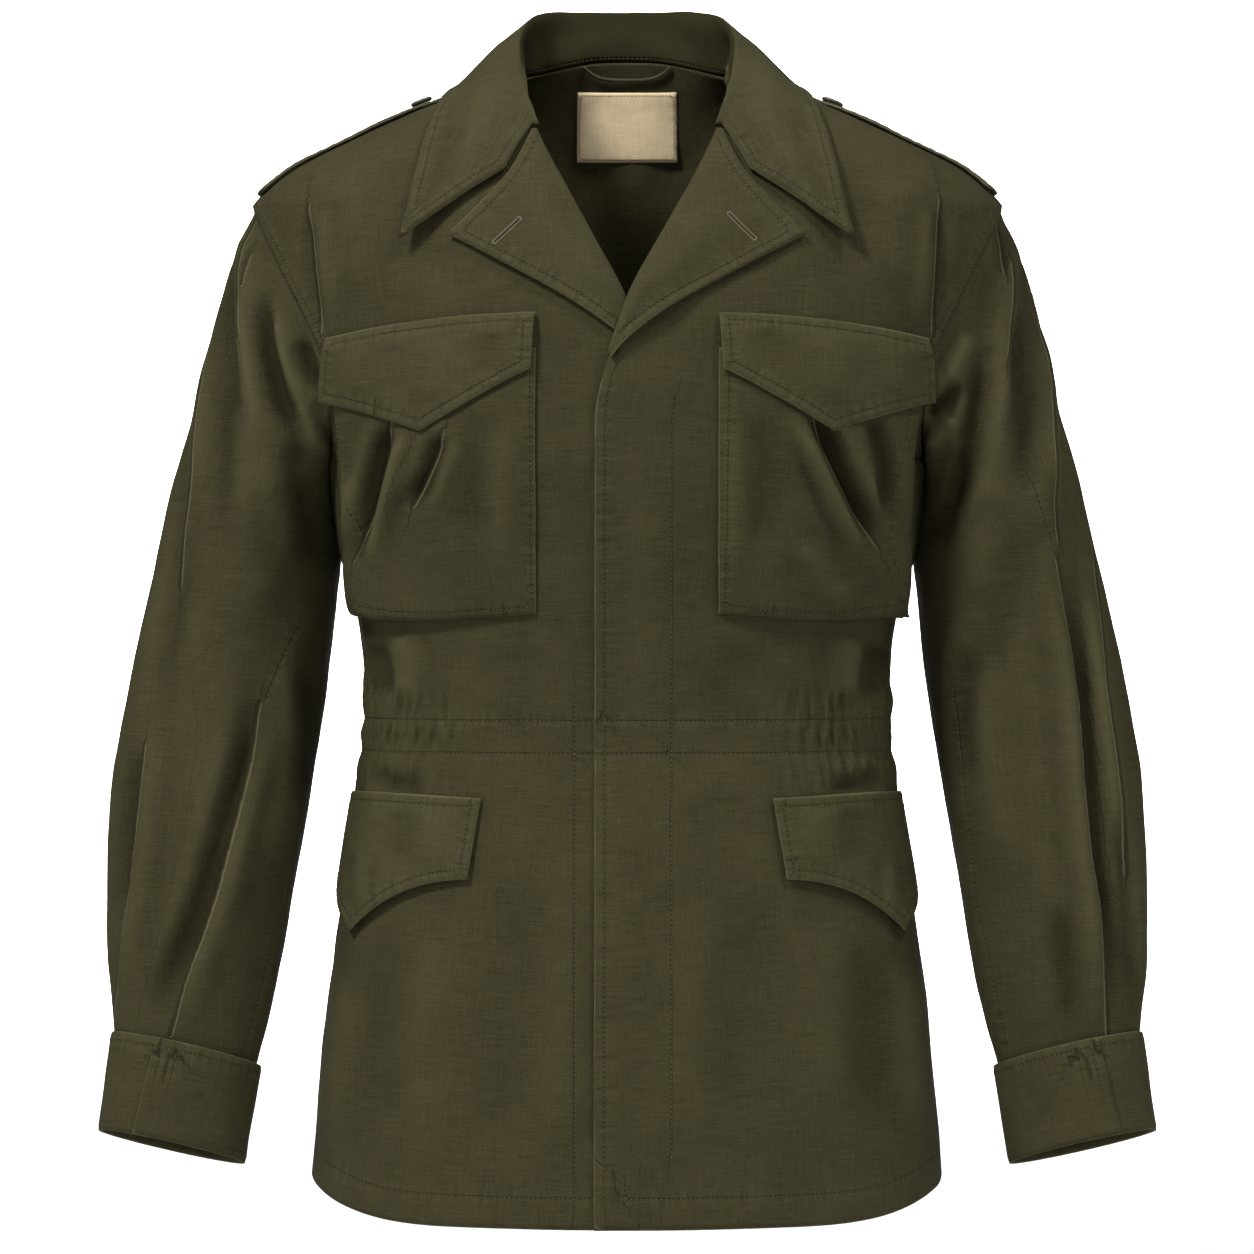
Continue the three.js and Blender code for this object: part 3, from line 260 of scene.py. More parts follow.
class Skin:
    """The visible side of a solid's cloth, made finer, folded, stitched and given its thickness."""

    def __init__(self, node: str, thickness: float, levels: int = 3, tube: bool = False, away: float = 1.0) -> None:
        """Copies a solid's visible side.

        Args:
            node: The solid.
            thickness: Its wall, in millimetres.
            levels: How often its faces are split in four.
            tube: Whether the cloth closes on itself.
            away: 1 where the visible side looks away from the body, -1 where it looks at it.
        """
        self.node = node
        self.thickness = thickness * MM
        self.tube = tube
        # How much painted shade darkens the cloth that looks at the neck.
        self.shade = 0.0
        coarse = self._visible_side(away)
        self.mesh = self._finer(coarse, levels)
        self._read()

    def _visible_side(self, away: float) -> bpy.types.Mesh:
        """Takes the visible side off the wall's copy, joins its triangles and marks its corners."""
        bm = bmesh.new()
        bm.from_mesh(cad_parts[self.node].data)
        bmesh.ops.remove_doubles(bm, verts=bm.verts, dist=1e-6)
        wall = self.thickness
        rim = [f for f in bm.faces if any(abs(e.calc_length() - wall) < 2e-6 for e in f.edges)]
        bmesh.ops.delete(bm, geom=rim, context="FACES")
        sides = self._islands(bm)
        if self.tube:
            seen = max(sides, key=lambda faces: sum(f.calc_area() for f in faces))
        else:
            seen = max(sides, key=lambda faces: away * self._looks_out(faces))
        kept = set(seen)
        bmesh.ops.delete(bm, geom=[f for f in bm.faces if f not in kept], context="FACES")
        bmesh.ops.join_triangles(
            bm,
            faces=bm.faces[:],
            angle_face_threshold=math.radians(50),
            angle_shape_threshold=math.radians(100),
        )
        corner = bm.verts.layers.float.new("crease_vert")
        for v in bm.verts:
            rims = [e for e in v.link_edges if e.is_boundary]
            if len(rims) == 2:
                a, b = (e.other_vert(v).co - v.co for e in rims)
                if a.length > 1e-9 and b.length > 1e-9 and a.angle(b) < math.radians(150):
                    v[corner] = 1.0
        mesh = bpy.data.meshes.new(self.node + "_coarse")
        bm.to_mesh(mesh)
        bm.free()
        return mesh

    @staticmethod
    def _islands(bm: bmesh.types.BMesh) -> list[list[bmesh.types.BMFace]]:
        """Groups the faces that hang together."""
        left = set(bm.faces)
        groups = []
        while left:
            stack = [left.pop()]
            group = []
            while stack:
                face = stack.pop()
                group.append(face)
                for e in face.edges:
                    for other in e.link_faces:
                        if other in left:
                            left.remove(other)
                            stack.append(other)
            groups.append(group)
        groups.sort(key=len, reverse=True)
        return groups[:2]

    @staticmethod
    def _looks_out(faces: Iterable[bmesh.types.BMFace]) -> float:
        """Says how much faces look away from the jacket's middle line."""
        total = 0.0
        for face in faces:
            centre = face.calc_center_median()
            total += face.calc_area() * face.normal.dot(Vector((centre.x, centre.y, 0.0)))
        return total

    def _finer(self, coarse: bpy.types.Mesh, levels: int) -> bpy.types.Mesh:
        """Splits the faces along smooth curves and lays the weave's map."""
        piece = bpy.data.objects.new(self.node + "_skin", coarse)
        bpy.context.scene.collection.objects.link(piece)
        if not self.tube:
            self._unwrap(piece)
        split = piece.modifiers.new("Split", "SUBSURF")
        split.levels = split.render_levels = levels
        split.boundary_smooth = "PRESERVE_CORNERS"
        split.uv_smooth = "SMOOTH_ALL"
        shown = piece.evaluated_get(bpy.context.evaluated_depsgraph_get())
        mesh = bpy.data.meshes.new_from_object(shown)
        bpy.data.objects.remove(piece)
        bm = bmesh.new()
        bm.from_mesh(mesh)
        inner = [v for v in bm.verts if not v.is_boundary]
        for _ in range(3 if levels > 2 else 1):
            bmesh.ops.smooth_vert(bm, verts=inner, factor=0.5, use_axis_x=True, use_axis_y=True, use_axis_z=True)
        bm.to_mesh(mesh)
        bm.free()
        if self.tube:
            self._wrap_round(mesh)
        return mesh

    @staticmethod
    def _unwrap(piece: bpy.types.Object) -> None:
        """Lays the piece out flat in metres, its length up the map."""
        for other in bpy.context.selected_objects:
            other.select_set(False)
        bpy.context.view_layer.objects.active = piece
        piece.select_set(True)
        bpy.ops.object.mode_set(mode="EDIT")
        bpy.ops.mesh.select_all(action="SELECT")
        bpy.ops.uv.unwrap(method="ANGLE_BASED", margin=0.0)
        bpy.ops.object.mode_set(mode="OBJECT")
        mesh = piece.data
        layer = mesh.uv_layers.active
        uv = np.empty(len(mesh.loops) * 2, np.float64)
        layer.data.foreach_get("uv", uv)
        uv = uv.reshape(-1, 2)
        index = np.empty(len(mesh.loops), np.int64)
        mesh.loops.foreach_get("vertex_index", index)
        co = np.empty(len(mesh.vertices) * 3, np.float64)
        mesh.vertices.foreach_get("co", co)
        high = co.reshape(-1, 3)[index, 2]
        flat = np.column_stack([uv, np.ones(len(uv))])
        slope = np.linalg.lstsq(flat, high, rcond=None)[0][:2]
        turn = slope / max(np.linalg.norm(slope), 1e-9)
        real = sum(p.area for p in mesh.polygons)
        drawn = 0.0
        for p in mesh.polygons:
            ring = uv[list(p.loop_indices)]
            after = np.roll(ring, -1, axis=0)
            drawn += abs((ring[:, 0] * after[:, 1] - after[:, 0] * ring[:, 1]).sum()) / 2
        size = math.sqrt(real / max(drawn, 1e-12))
        across = uv @ np.array([turn[1], -turn[0]])
        along = uv @ turn
        layer.data.foreach_set("uv", (np.column_stack([across, along]) * size).ravel())

    @staticmethod
    def _wrap_round(mesh: bpy.types.Mesh) -> None:
        """Lays the weave's map round a tube."""
        co = np.empty(len(mesh.vertices) * 3, np.float64)
        mesh.vertices.foreach_get("co", co)
        co = co.reshape(-1, 3)
        z = co[:, 2]
        heights = np.linspace(z.min(), z.max(), 24)
        middles = [co[np.abs(z - h) < 0.03].mean(axis=0) for h in heights]
        centre = np.column_stack([np.interp(z, heights, [m[k] for m in middles]) for k in range(2)])
        turn = np.arctan2(co[:, 1] - centre[:, 1], co[:, 0] - centre[:, 0])
        index = np.empty(len(mesh.loops), np.int64)
        mesh.loops.foreach_get("vertex_index", index)
        angles = turn[index]
        uv = np.column_stack([angles, z[index]])
        starts = np.empty(len(mesh.polygons), np.int64)
        counts = np.empty(len(mesh.polygons), np.int64)
        mesh.polygons.foreach_get("loop_start", starts)
        mesh.polygons.foreach_get("loop_total", counts)
        face = np.repeat(np.arange(len(starts)), counts)
        first = angles[starts][face]
        uv[:, 0] = first + np.mod(angles - first + math.pi, 2 * math.pi) - math.pi
        uv[:, 0] *= 0.06
        layer = mesh.uv_layers.new(name="UVMap")
        layer.data.foreach_set("uv", uv.ravel())

    def _read(self) -> None:
        """Reads the mesh's places and directions, its boundary and its search tree."""
        count = len(self.mesh.vertices)
        places = np.empty(count * 3, np.float64)
        self.mesh.vertices.foreach_get("co", places)
        self.co = places.reshape(-1, 3)
        looks = np.empty(count * 3, np.float64)
        self.mesh.vertices.foreach_get("normal", looks)
        self.normal = looks.reshape(-1, 3)
        bm = bmesh.new()
        bm.from_mesh(self.mesh)
        self.tree = BVHTree.FromBMesh(bm)
        self.loops = self._boundary(bm)
        bm.free()
        points = [p for loop in self.loops for p, _ in self._dense(loop)]
        self.rim_tree = KDTree(len(points))
        for i, p in enumerate(points):
            self.rim_tree.insert(p, i)
        self.rim_tree.balance()
        self.rim = np.array([self.rim_tree.find(Vector(c))[2] for c in self.co])

    @staticmethod
    def _boundary(bm: bmesh.types.BMesh) -> list[list[tuple[Vector, Vector]]]:
        """Orders the boundary in closed loops of places, each with the way into the cloth."""
        left = {e for e in bm.edges if e.is_boundary}
        loops = []
        while left:
            edge = left.pop()
            ring = [edge]
            start, vert = edge.verts
            while vert != start:
                edge = next((e for e in vert.link_edges if e in left), None)
                if edge is None:
                    break
                left.remove(edge)
                ring.append(edge)
                vert = edge.other_vert(vert)
            loop = []
            for e in ring:
                middle = (e.verts[0].co + e.verts[1].co) / 2
                inside = e.link_faces[0].calc_center_median() - middle
                along = (e.verts[1].co - e.verts[0].co).normalized()
                loop.append((middle, (inside - along * inside.dot(along)).normalized()))
            loops.append(loop)
        return loops

    @staticmethod
    def _dense(loop: list[tuple[Vector, Vector]]) -> list[tuple[Vector, Vector]]:
        """Fills a loop so that its places lie about 0.7 mm apart."""
        made = []
        for (a, inward), (b, _) in zip(loop, loop[1:] + loop[:1]):
            count = max(1, int((b - a).length / 0.0007))
            if count > 60:
                count = 1
            made += [(a.lerp(b, k / count), inward) for k in range(count)]
        return made

    def seam_path(self, seam: Seam) -> list[list[tuple[Vector, Vector]]]:
        """Finds where a row of stitches runs on the skin.

        Args:
            seam: The row.

        Returns:
            Its stretches, each a list of places with the skin's direction.
        """
        if seam.level is not None:
            return self._level_path(seam.level)
        if seam.pixels:
            return self._drawn_path(seam)
        return self._inset_path(seam)

    def _inset_path(self, seam: Seam) -> list[list[tuple[Vector, Vector]]]:
        """Finds the line at a row's distance from its edge."""
        inset = seam.inset * MM
        stretches: list[list[tuple[Vector, Vector]]] = []
        for loop in self.loops:
            run: list[tuple[Vector, Vector]] = []
            for place, inward in loop + loop[:1]:
                hit = None
                if on_edge(seam.edge, place):
                    found, normal, _, _ = self.tree.find_nearest(place + inward * inset)
                    if found is not None and self.rim_tree.find(found)[2] > inset * 0.9:
                        hit = (found, normal)
                if hit is not None and run and (hit[0] - run[-1][0]).length > 0.02:
                    stretches.append(run)
                    run = []
                if hit is not None:
                    run.append(hit)
            if run:
                stretches.append(run)
        return [run for run in stretches if len(run) > 2]

    def _drawn_path(self, seam: Seam) -> list[list[tuple[Vector, Vector]]]:
        """Finds the line that the view's pixels draw on the skin."""
        line = VIEW.places(seam.pixels)
        run = []
        for a, b in zip(line, line[1:]):
            count = max(2, int(np.linalg.norm(b - a) / 0.002))
            for k in range(count):
                x, z = a + (b - a) * k / count
                start, way = VIEW.ray(x, z, seam.facing)
                found, normal, _, _ = self.tree.ray_cast(start, way)
                if found is not None:
                    run.append((found, normal))
        return [run] if len(run) > 2 else []

    def _level_path(self, level: float) -> list[list[tuple[Vector, Vector]]]:
        """Finds the line at one height, in order round the body."""
        height = level * MM
        ends = np.empty(len(self.mesh.edges) * 2, np.int64)
        self.mesh.edges.foreach_get("vertices", ends)
        a, b = self.co[ends[0::2]], self.co[ends[1::2]]
        crossing = (a[:, 2] - height) * (b[:, 2] - height) < 0
        a, b = a[crossing], b[crossing]
        share = (height - a[:, 2]) / (b[:, 2] - a[:, 2])
        points = a + (b - a) * share[:, None]
        back = points[:, 1].mean() > 0
        turn = np.arctan2(points[:, 0], points[:, 1] if back else -points[:, 1])
        run = []
        for i in np.argsort(turn):
            found, normal, _, _ = self.tree.find_nearest(Vector(points[i]))
            if not run or (found - run[-1][0]).length > 0.0012:
                run.append((found, normal))
        return [run]

    def shape(self, folds: Sequence[Fold], seams: Sequence[Seam], gathers: float = 0.0, roll: float = 0.0, welt: float = 0.0) -> None:
        """Folds the cloth and marks where its rows of stitches, its edges and its painted light and shade lie.

        Args:
            folds: The folds placed one by one.
            seams: The rows of stitches.
            gathers: How high the waist gathers stand, in millimetres.
            roll: How far the folded edge turns down, in millimetres.
            welt: How far the turned edge along the armhole stands up, in millimetres.
        """
        plane = VIEW.plane(self.co)
        lift = np.zeros(len(self.co))
        # crease holds the painted light on fold ridges and the painted shade in fold troughs.
        crease = np.zeros(len(self.co))
        for fold in folds:
            rise = fold.lift(plane, self.normal[:, 1]) * smooth(0.0, 0.007, self.rim)
            lift += rise
            crease += fold.painted_light_and_shade(rise)
        # Painted shade on the collar's stand, where it looks at the neck.
        crease -= self.shade * self._looks_in()
        lift += self._rumple()
        if gathers:
            lift += self._gathers(gathers)
        if roll:
            lift -= roll * MM * (1.0 - smooth(0.0, 0.0022, self.rim))
            lift += 0.3 * roll * MM * np.exp(-(((self.rim - 0.0032) / 0.0012) ** 2))
        self.paths = [(seam, path) for seam in seams for path in self.seam_path(seam)]
        marks = self._seam_distances()
        row, beside, pucker, along = marks["row"], marks["beside"], marks["pucker"], marks["along"]
        off = np.minimum(np.abs(row), np.abs(beside))
        lift -= 0.3 * MM * np.exp(-((off / 0.0018) ** 2))
        waves = np.sin(along / 0.0083 * 2 * math.pi + 1.7 * np.sin(along / 0.031))
        waves += 0.6 * np.sin(along / 0.0047 * 2 * math.pi + 1.3)
        lift += 0.17 * MM * waves * pucker
        if welt:
            lift += self._welt(welt)
        self.co += self.normal * lift[:, None]
        self.mesh.vertices.foreach_set("co", self.co.ravel())
        marks.update(rim=self._from_edge(self.wear_and_highlight), crease=crease)
        for name, values in marks.items():
            layer = self.mesh.attributes.new(name, "FLOAT", "POINT")
            layer.data.foreach_set("value", np.ascontiguousarray(values, np.float32))
        self.mesh.update()
        bm = bmesh.new()
        bm.from_mesh(self.mesh)
        self.tree = BVHTree.FromBMesh(bm)
        bm.free()

    def _seam_distances(self) -> dict[str, np.ndarray]:
        """Measures each place from the rows of stitches and the creases with painted highlight and shadow.

        Returns:
            The signed distances from the nearest main row, the nearest row beside one and the
            nearest crease, the place along the nearest main row, and how much the cloth puckers
            there, fading where two main rows meet.
        """
        count = len(self.co)
        far = 0.05
        marks = {name: np.full(count, far) for name in ("row", "beside", "line")}
        second = np.full(count, far)
        along = np.zeros(count)
        passed = 0.0
        for seam, path in self.paths:
            samples = []
            for (a, up), (b, _) in zip(path, path[1:]):
                length = (b - a).length
                if length < 1e-7:
                    continue
                side = up.cross(b - a).normalized()
                steps = max(1, int(length / 0.0007))
                samples += [(a.lerp(b, k / steps), passed + length * k / steps, side) for k in range(steps)]
                passed += length
            tree = KDTree(len(samples))
            for i, sample in enumerate(samples):
                tree.insert(sample[0], i)
            tree.balance()
            found = [tree.find(Vector(c)) for c in self.co]
            reach = np.minimum(np.array([f[2] for f in found]), far)
            nearest = [samples[f[1]] for f in found]
            foot = np.array([n[0][:] for n in nearest])
            side = np.array([n[2][:] for n in nearest])
            signed = -seam.dark * np.copysign(reach, ((self.co - foot) * side).sum(axis=1))
            kind = "line" if not seam.pitch else "row" if seam.puckers else "beside"
            nearer = reach < np.abs(marks[kind])
            if kind == "row":
                along = np.where(nearer, np.array([n[1] for n in nearest]), along)
                second = np.where(nearer, np.abs(marks[kind]), np.minimum(second, reach))
            marks[kind] = np.where(nearer, signed, marks[kind])
        first = np.abs(marks["row"])
        marks["pucker"] = (1.0 - smooth(0.0015, 0.009, first)) * smooth(0.0, 0.012, second - first)
        marks["along"] = along
        return marks

    def _from_edge(self, edge: Edge) -> np.ndarray:
        """Measures each place from a stretch of the piece's edge."""
        points = [p for loop in self.loops for p, _ in self._dense(loop) if on_edge(edge, p)]
        if not points:
            return np.full(len(self.co), 0.05)
        tree = KDTree(len(points))
        for i, p in enumerate(points):
            tree.insert(p, i)
        tree.balance()
        return np.array([tree.find(Vector(c))[2] for c in self.co])

    def _welt(self, height: float) -> np.ndarray:
        """Gives the lift of the turned edge that is stitched down along the armhole."""
        off = self._from_edge(Edge.ARMHOLE)
        flat = 1.0 - smooth(0.0085, 0.0125, off)
        return height * MM * (flat - 0.7 * (1.0 - smooth(0.0, 0.003, off)))

    def _looks_in(self) -> np.ndarray:
        """Gives 1 where the cloth high at the neck looks at the neck, and 0 elsewhere: where painted shade goes."""
        x, y = self.co[:, 0], self.co[:, 1] - 0.01
        out = (self.normal[:, 0] * x + self.normal[:, 1] * y) / np.maximum(np.hypot(x, y), 1e-4)
        return smooth(0.25, 0.6, -out)

    def _rumple(self) -> np.ndarray:
        """Gives the small unevenness of washed cloth, the same wherever two pieces meet."""
        values = np.empty(len(self.co))
        for i, c in enumerate(self.co):
            place = Vector(c)
            values[i] = 0.8 * noise.noise(place * 20.0) + 0.3 * noise.noise(place * 52.0)
        return values * MM

    def _gathers(self, height: float) -> np.ndarray:
        """Gives the lift of the gathers drawn up between the two rows of stitches at the waist."""
        x, y, z = self.co.T
        turn = np.degrees(np.arctan2(np.abs(x), -y))
        band = smooth(34.0, 52.0, turn) * (1.0 - smooth(114.0, 134.0, turn))
        round_it = np.radians(turn) * 0.15 + 0.0011 * np.sin(turn * 0.31 + np.sign(x))
        drift = 0.0016 * np.sin(z * 95.0 + turn * 0.2)
        fine = np.sin((round_it + drift) / 0.0092 * 2 * math.pi)
        fine += 0.5 * np.sin((round_it - drift) / 0.0061 * 2 * math.pi + np.sign(x))
        long = np.sin((round_it + drift) / 0.0171 * 2 * math.pi + 0.7 * np.sign(x))
        level = z / MM
        near = np.exp(-(((level + 414) / 8) ** 2))
        near += 0.8 * np.exp(-(((level + 394) / 9) ** 2)) + 0.8 * np.exp(-(((level + 436) / 9) ** 2))
        far = np.exp(-(((level + 378) / 20) ** 2)) + np.exp(-(((level + 452) / 20) ** 2))
        return height * MM * band * (near * fine * 0.62 + far * long * 0.22)

    def finish(self, name: str, finish: "Finish") -> bpy.types.Object:
        """Turns the skin into a finished piece that replaces its solid.

        Args:
            name: The piece's name.
            finish: Its material.

        Returns:
            The piece.
        """
        self.mesh.name = name
        piece = bpy.data.objects.new(name, self.mesh)
        bpy.context.scene.collection.objects.link(piece)
        self.mesh.materials.clear()
        self.mesh.materials.append(finish.material())
        self.mesh.polygons.foreach_set("use_smooth", [True] * len(self.mesh.polygons))
        wall = piece.modifiers.new("Wall", "SOLIDIFY")
        wall.thickness = self.thickness
        wall.offset = -1.0
        wall.use_rim = True
        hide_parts(self.node)
        return settle(piece)


def settle(piece: bpy.types.Object) -> bpy.types.Object:
    """Lets a piece ride on the jacket."""
    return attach(piece, BODY)


class Thread:
    """Stitches: short rounded pieces of thread, joined in one mesh."""

    def __init__(self, length: float = 2.3, width: float = 0.5, height: float = 0.34) -> None:
        """Makes the one stitch that is repeated.

        Args:
            length: Along the seam, in millimetres.
            width: Across it, in millimetres.
            height: How far it stands up, in millimetres.
        """
        bm = bmesh.new()
        bmesh.ops.create_icosphere(bm, subdivisions=1, radius=0.5)
        bmesh.ops.scale(bm, vec=Vector((length, width, height)) * MM, verts=bm.verts)
        bm.verts.ensure_lookup_table()
        self.points = np.array([v.co[:] for v in bm.verts])
        self.faces = [[v.index for v in f.verts] for f in bm.faces]
        bm.free()

    @staticmethod
    def place(at: Vector, along: Vector, up: Vector) -> Matrix:
        """Gives the placement of a stitch that lies along a direction."""
        side = up.cross(along).normalized()
        along = side.cross(up).normalized()
        turn = Matrix((along, side, up)).transposed().to_4x4()
        turn.translation = at
        return turn

    def run(self, path: list[tuple[Vector, Vector]], pitch: float, tree: BVHTree) -> list[Matrix]:
        """Spaces stitches evenly along a path.

        Args:
            path: Places with the cloth's direction.
            pitch: Spacing, in millimetres.
            tree: The finished skin, on which the stitches lie.

        Returns:
            The placement of each stitch.
        """
        made = []
        left = 0.0
        for (a, up_a), (b, up_b) in zip(path, path[1:]):
            length = (b - a).length
            if length < 1e-7 or length > 0.02:
                continue
            while left < length:
                place, normal, _, _ = tree.find_nearest(a.lerp(b, left / length))
                if place is not None and normal.dot(up_a + up_b) > 0:
                    made.append(self.place(place + normal * 0.05 * MM, (b - a).normalized(), normal))
                left += pitch * MM
            left -= length
        return made

    def stamp(self, name: str, places: list[Matrix], finish: "Finish") -> Optional[bpy.types.Object]:
        """Joins a stitch at every placement in one piece.

        Args:
            name: The piece's name.
            places: The placements.
            finish: The thread's material.

        Returns:
            The piece, or None where there are no placements.
        """
        if not places:
            return None
        turns = np.array([[list(row) for row in m] for m in places])
        points = np.einsum("nij,vj->nvi", turns[:, :3, :3], self.points) + turns[:, None, :3, 3]
        count = len(self.points)
        faces = [[count * k + v for v in face] for k in range(len(places)) for face in self.faces]
        mesh = bpy.data.meshes.new(name)
        mesh.from_pydata(points.reshape(-1, 3).tolist(), [], faces)
        mesh.polygons.foreach_set("use_smooth", [True] * len(mesh.polygons))
        mesh.materials.append(finish.material())
        piece = bpy.data.objects.new(name, mesh)
        bpy.context.scene.collection.objects.link(piece)
        return settle(piece)


class Socket:
    """One value of a node tree, on which arithmetic adds Math nodes."""

    def __init__(self, tree: "Tree", output: bpy.types.NodeSocket) -> None:
        """Wraps a node's output."""
        self.tree = tree
        self.output = output

    def _math(self, operation: str, first: Number, second: Number) -> "Socket":
        """Adds one Math node."""
        return self.tree.node("ShaderNodeMath", {"operation": operation}, {0: first, 1: second})

    def __add__(self, other: Number) -> "Socket":
        """Adds."""
        return self._math("ADD", self, other)

    __radd__ = __add__

    def __sub__(self, other: Number) -> "Socket":
        """Subtracts."""
        return self._math("SUBTRACT", self, other)

    def __rsub__(self, other: Number) -> "Socket":
        """Subtracts from a number."""
        return self._math("SUBTRACT", other, self)

    def __mul__(self, other: Number) -> "Socket":
        """Multiplies."""
        return self._math("MULTIPLY", self, other)

    __rmul__ = __mul__

    def __truediv__(self, other: Number) -> "Socket":
        """Divides."""
        return self._math("DIVIDE", self, other)

    def __pow__(self, other: Number) -> "Socket":
        """Raises to a power."""
        return self._math("POWER", self, other)

    def wave(self) -> "Socket":
        """Gives the sine."""
        return self._math("SINE", self, 0.0)

    def near(self, reach: float) -> "Socket":
        """Gives 1 at zero, falling softly to 0 at a distance."""
        settings = {"interpolation_type": "SMOOTHSTEP"}
        inputs = {"Value": self, "From Min": 0.0, "From Max": reach, "To Min": 1.0, "To Max": 0.0}
        return self.tree.node("ShaderNodeMapRange", settings, inputs)


class Tree:
    """A material's node tree."""

    def __init__(self, name: str) -> None:
        """Starts a material with its shader."""
        self.material = bpy.data.materials.new(name)
        self.material.use_nodes = True
        self.nodes = self.material.node_tree.nodes
        self.links = self.material.node_tree.links
        self.shader = next(n for n in self.nodes if n.type == "BSDF_PRINCIPLED")

    def node(self, kind: str, settings: dict, inputs: dict, output: Union[int, str] = 0) -> Socket:
        """Adds a node.

        Args:
            kind: The node's type.
            settings: Its properties.
            inputs: The value or link of each socket named.
            output: The output wanted.

        Returns:
            That output.
        """
        made = self.nodes.new(kind)
        for key, value in settings.items():
            setattr(made, key, value)
        for key, value in inputs.items():
            if isinstance(value, Socket):
                self.links.new(value.output, made.inputs[key])
            else:
                made.inputs[key].default_value = value
        return Socket(self, made.outputs[output])

    def feed(self, name: str, value: Socket) -> None:
        """Links a value to the shader."""
        self.links.new(value.output, self.shader.inputs[name])

    def attribute(self, name: str) -> Socket:
        """Reads one of the piece's own values."""
        return self.node("ShaderNodeAttribute", {"attribute_name": name}, {}, "Fac")

    def stretched(self, vector: Socket, across: float, along: float, third: float = 1.0) -> Socket:
        """Scales a vector's three parts."""
        scale = (across, along, third)
        return self.node("ShaderNodeVectorMath", {"operation": "MULTIPLY"}, {0: vector, 1: scale})

    def speckle(self, vector: Socket, scale: float, detail: float = 2.0) -> Socket:
        """Gives noise of a number of cells a metre."""
        inputs = {"Vector": vector, "Scale": scale, "Detail": detail, "Roughness": 0.55}
        return self.node("ShaderNodeTexNoise", {}, inputs, "Fac")

    def blend(self, share: Number, low: Sequence[float], high: Union[Socket, Sequence[float]]) -> Socket:
        """Mixes two colours."""
        first = low if isinstance(low, Socket) else (*low, 1.0)
        second = high if isinstance(high, Socket) else (*high, 1.0)
        settings = {"data_type": "RGBA", "clamp_factor": True}
        return self.node("ShaderNodeMix", settings, {0: share, 6: first, 7: second}, 2)

    def bump(self, height: Socket) -> None:
        """Feeds a relief in metres to the shader."""
        inputs = {"Strength": 1.0, "Distance": 1.0, "Height": height}
        self.feed("Normal", self.node("ShaderNodeBump", {}, inputs, "Normal"))


@dataclass(frozen=True)
class Finish:
    """What every finish has: a name, a slot, a roughness and a sheen."""

    name: str
    slot: str = "cloth"
    roughness: float = 0.86
    sheen: float = 0.0
    gloss: float = 0.06

    def material(self) -> bpy.types.Material:
        """Makes the material once."""
        found = bpy.data.materials.get(self.name)
        if found is not None:
            return found
        tree = Tree(self.name)
        tree.shader.inputs["Roughness"].default_value = self.roughness
        tree.shader.inputs["Sheen Weight"].default_value = self.sheen
        tree.shader.inputs["Sheen Roughness"].default_value = 0.45
        tree.shader.inputs["Specular IOR Level"].default_value = self.gloss
        self.dress(tree)
        return tree.material

    def dress(self, tree: Tree) -> None:
        """Adds what the surface shows."""
        raise NotImplementedError


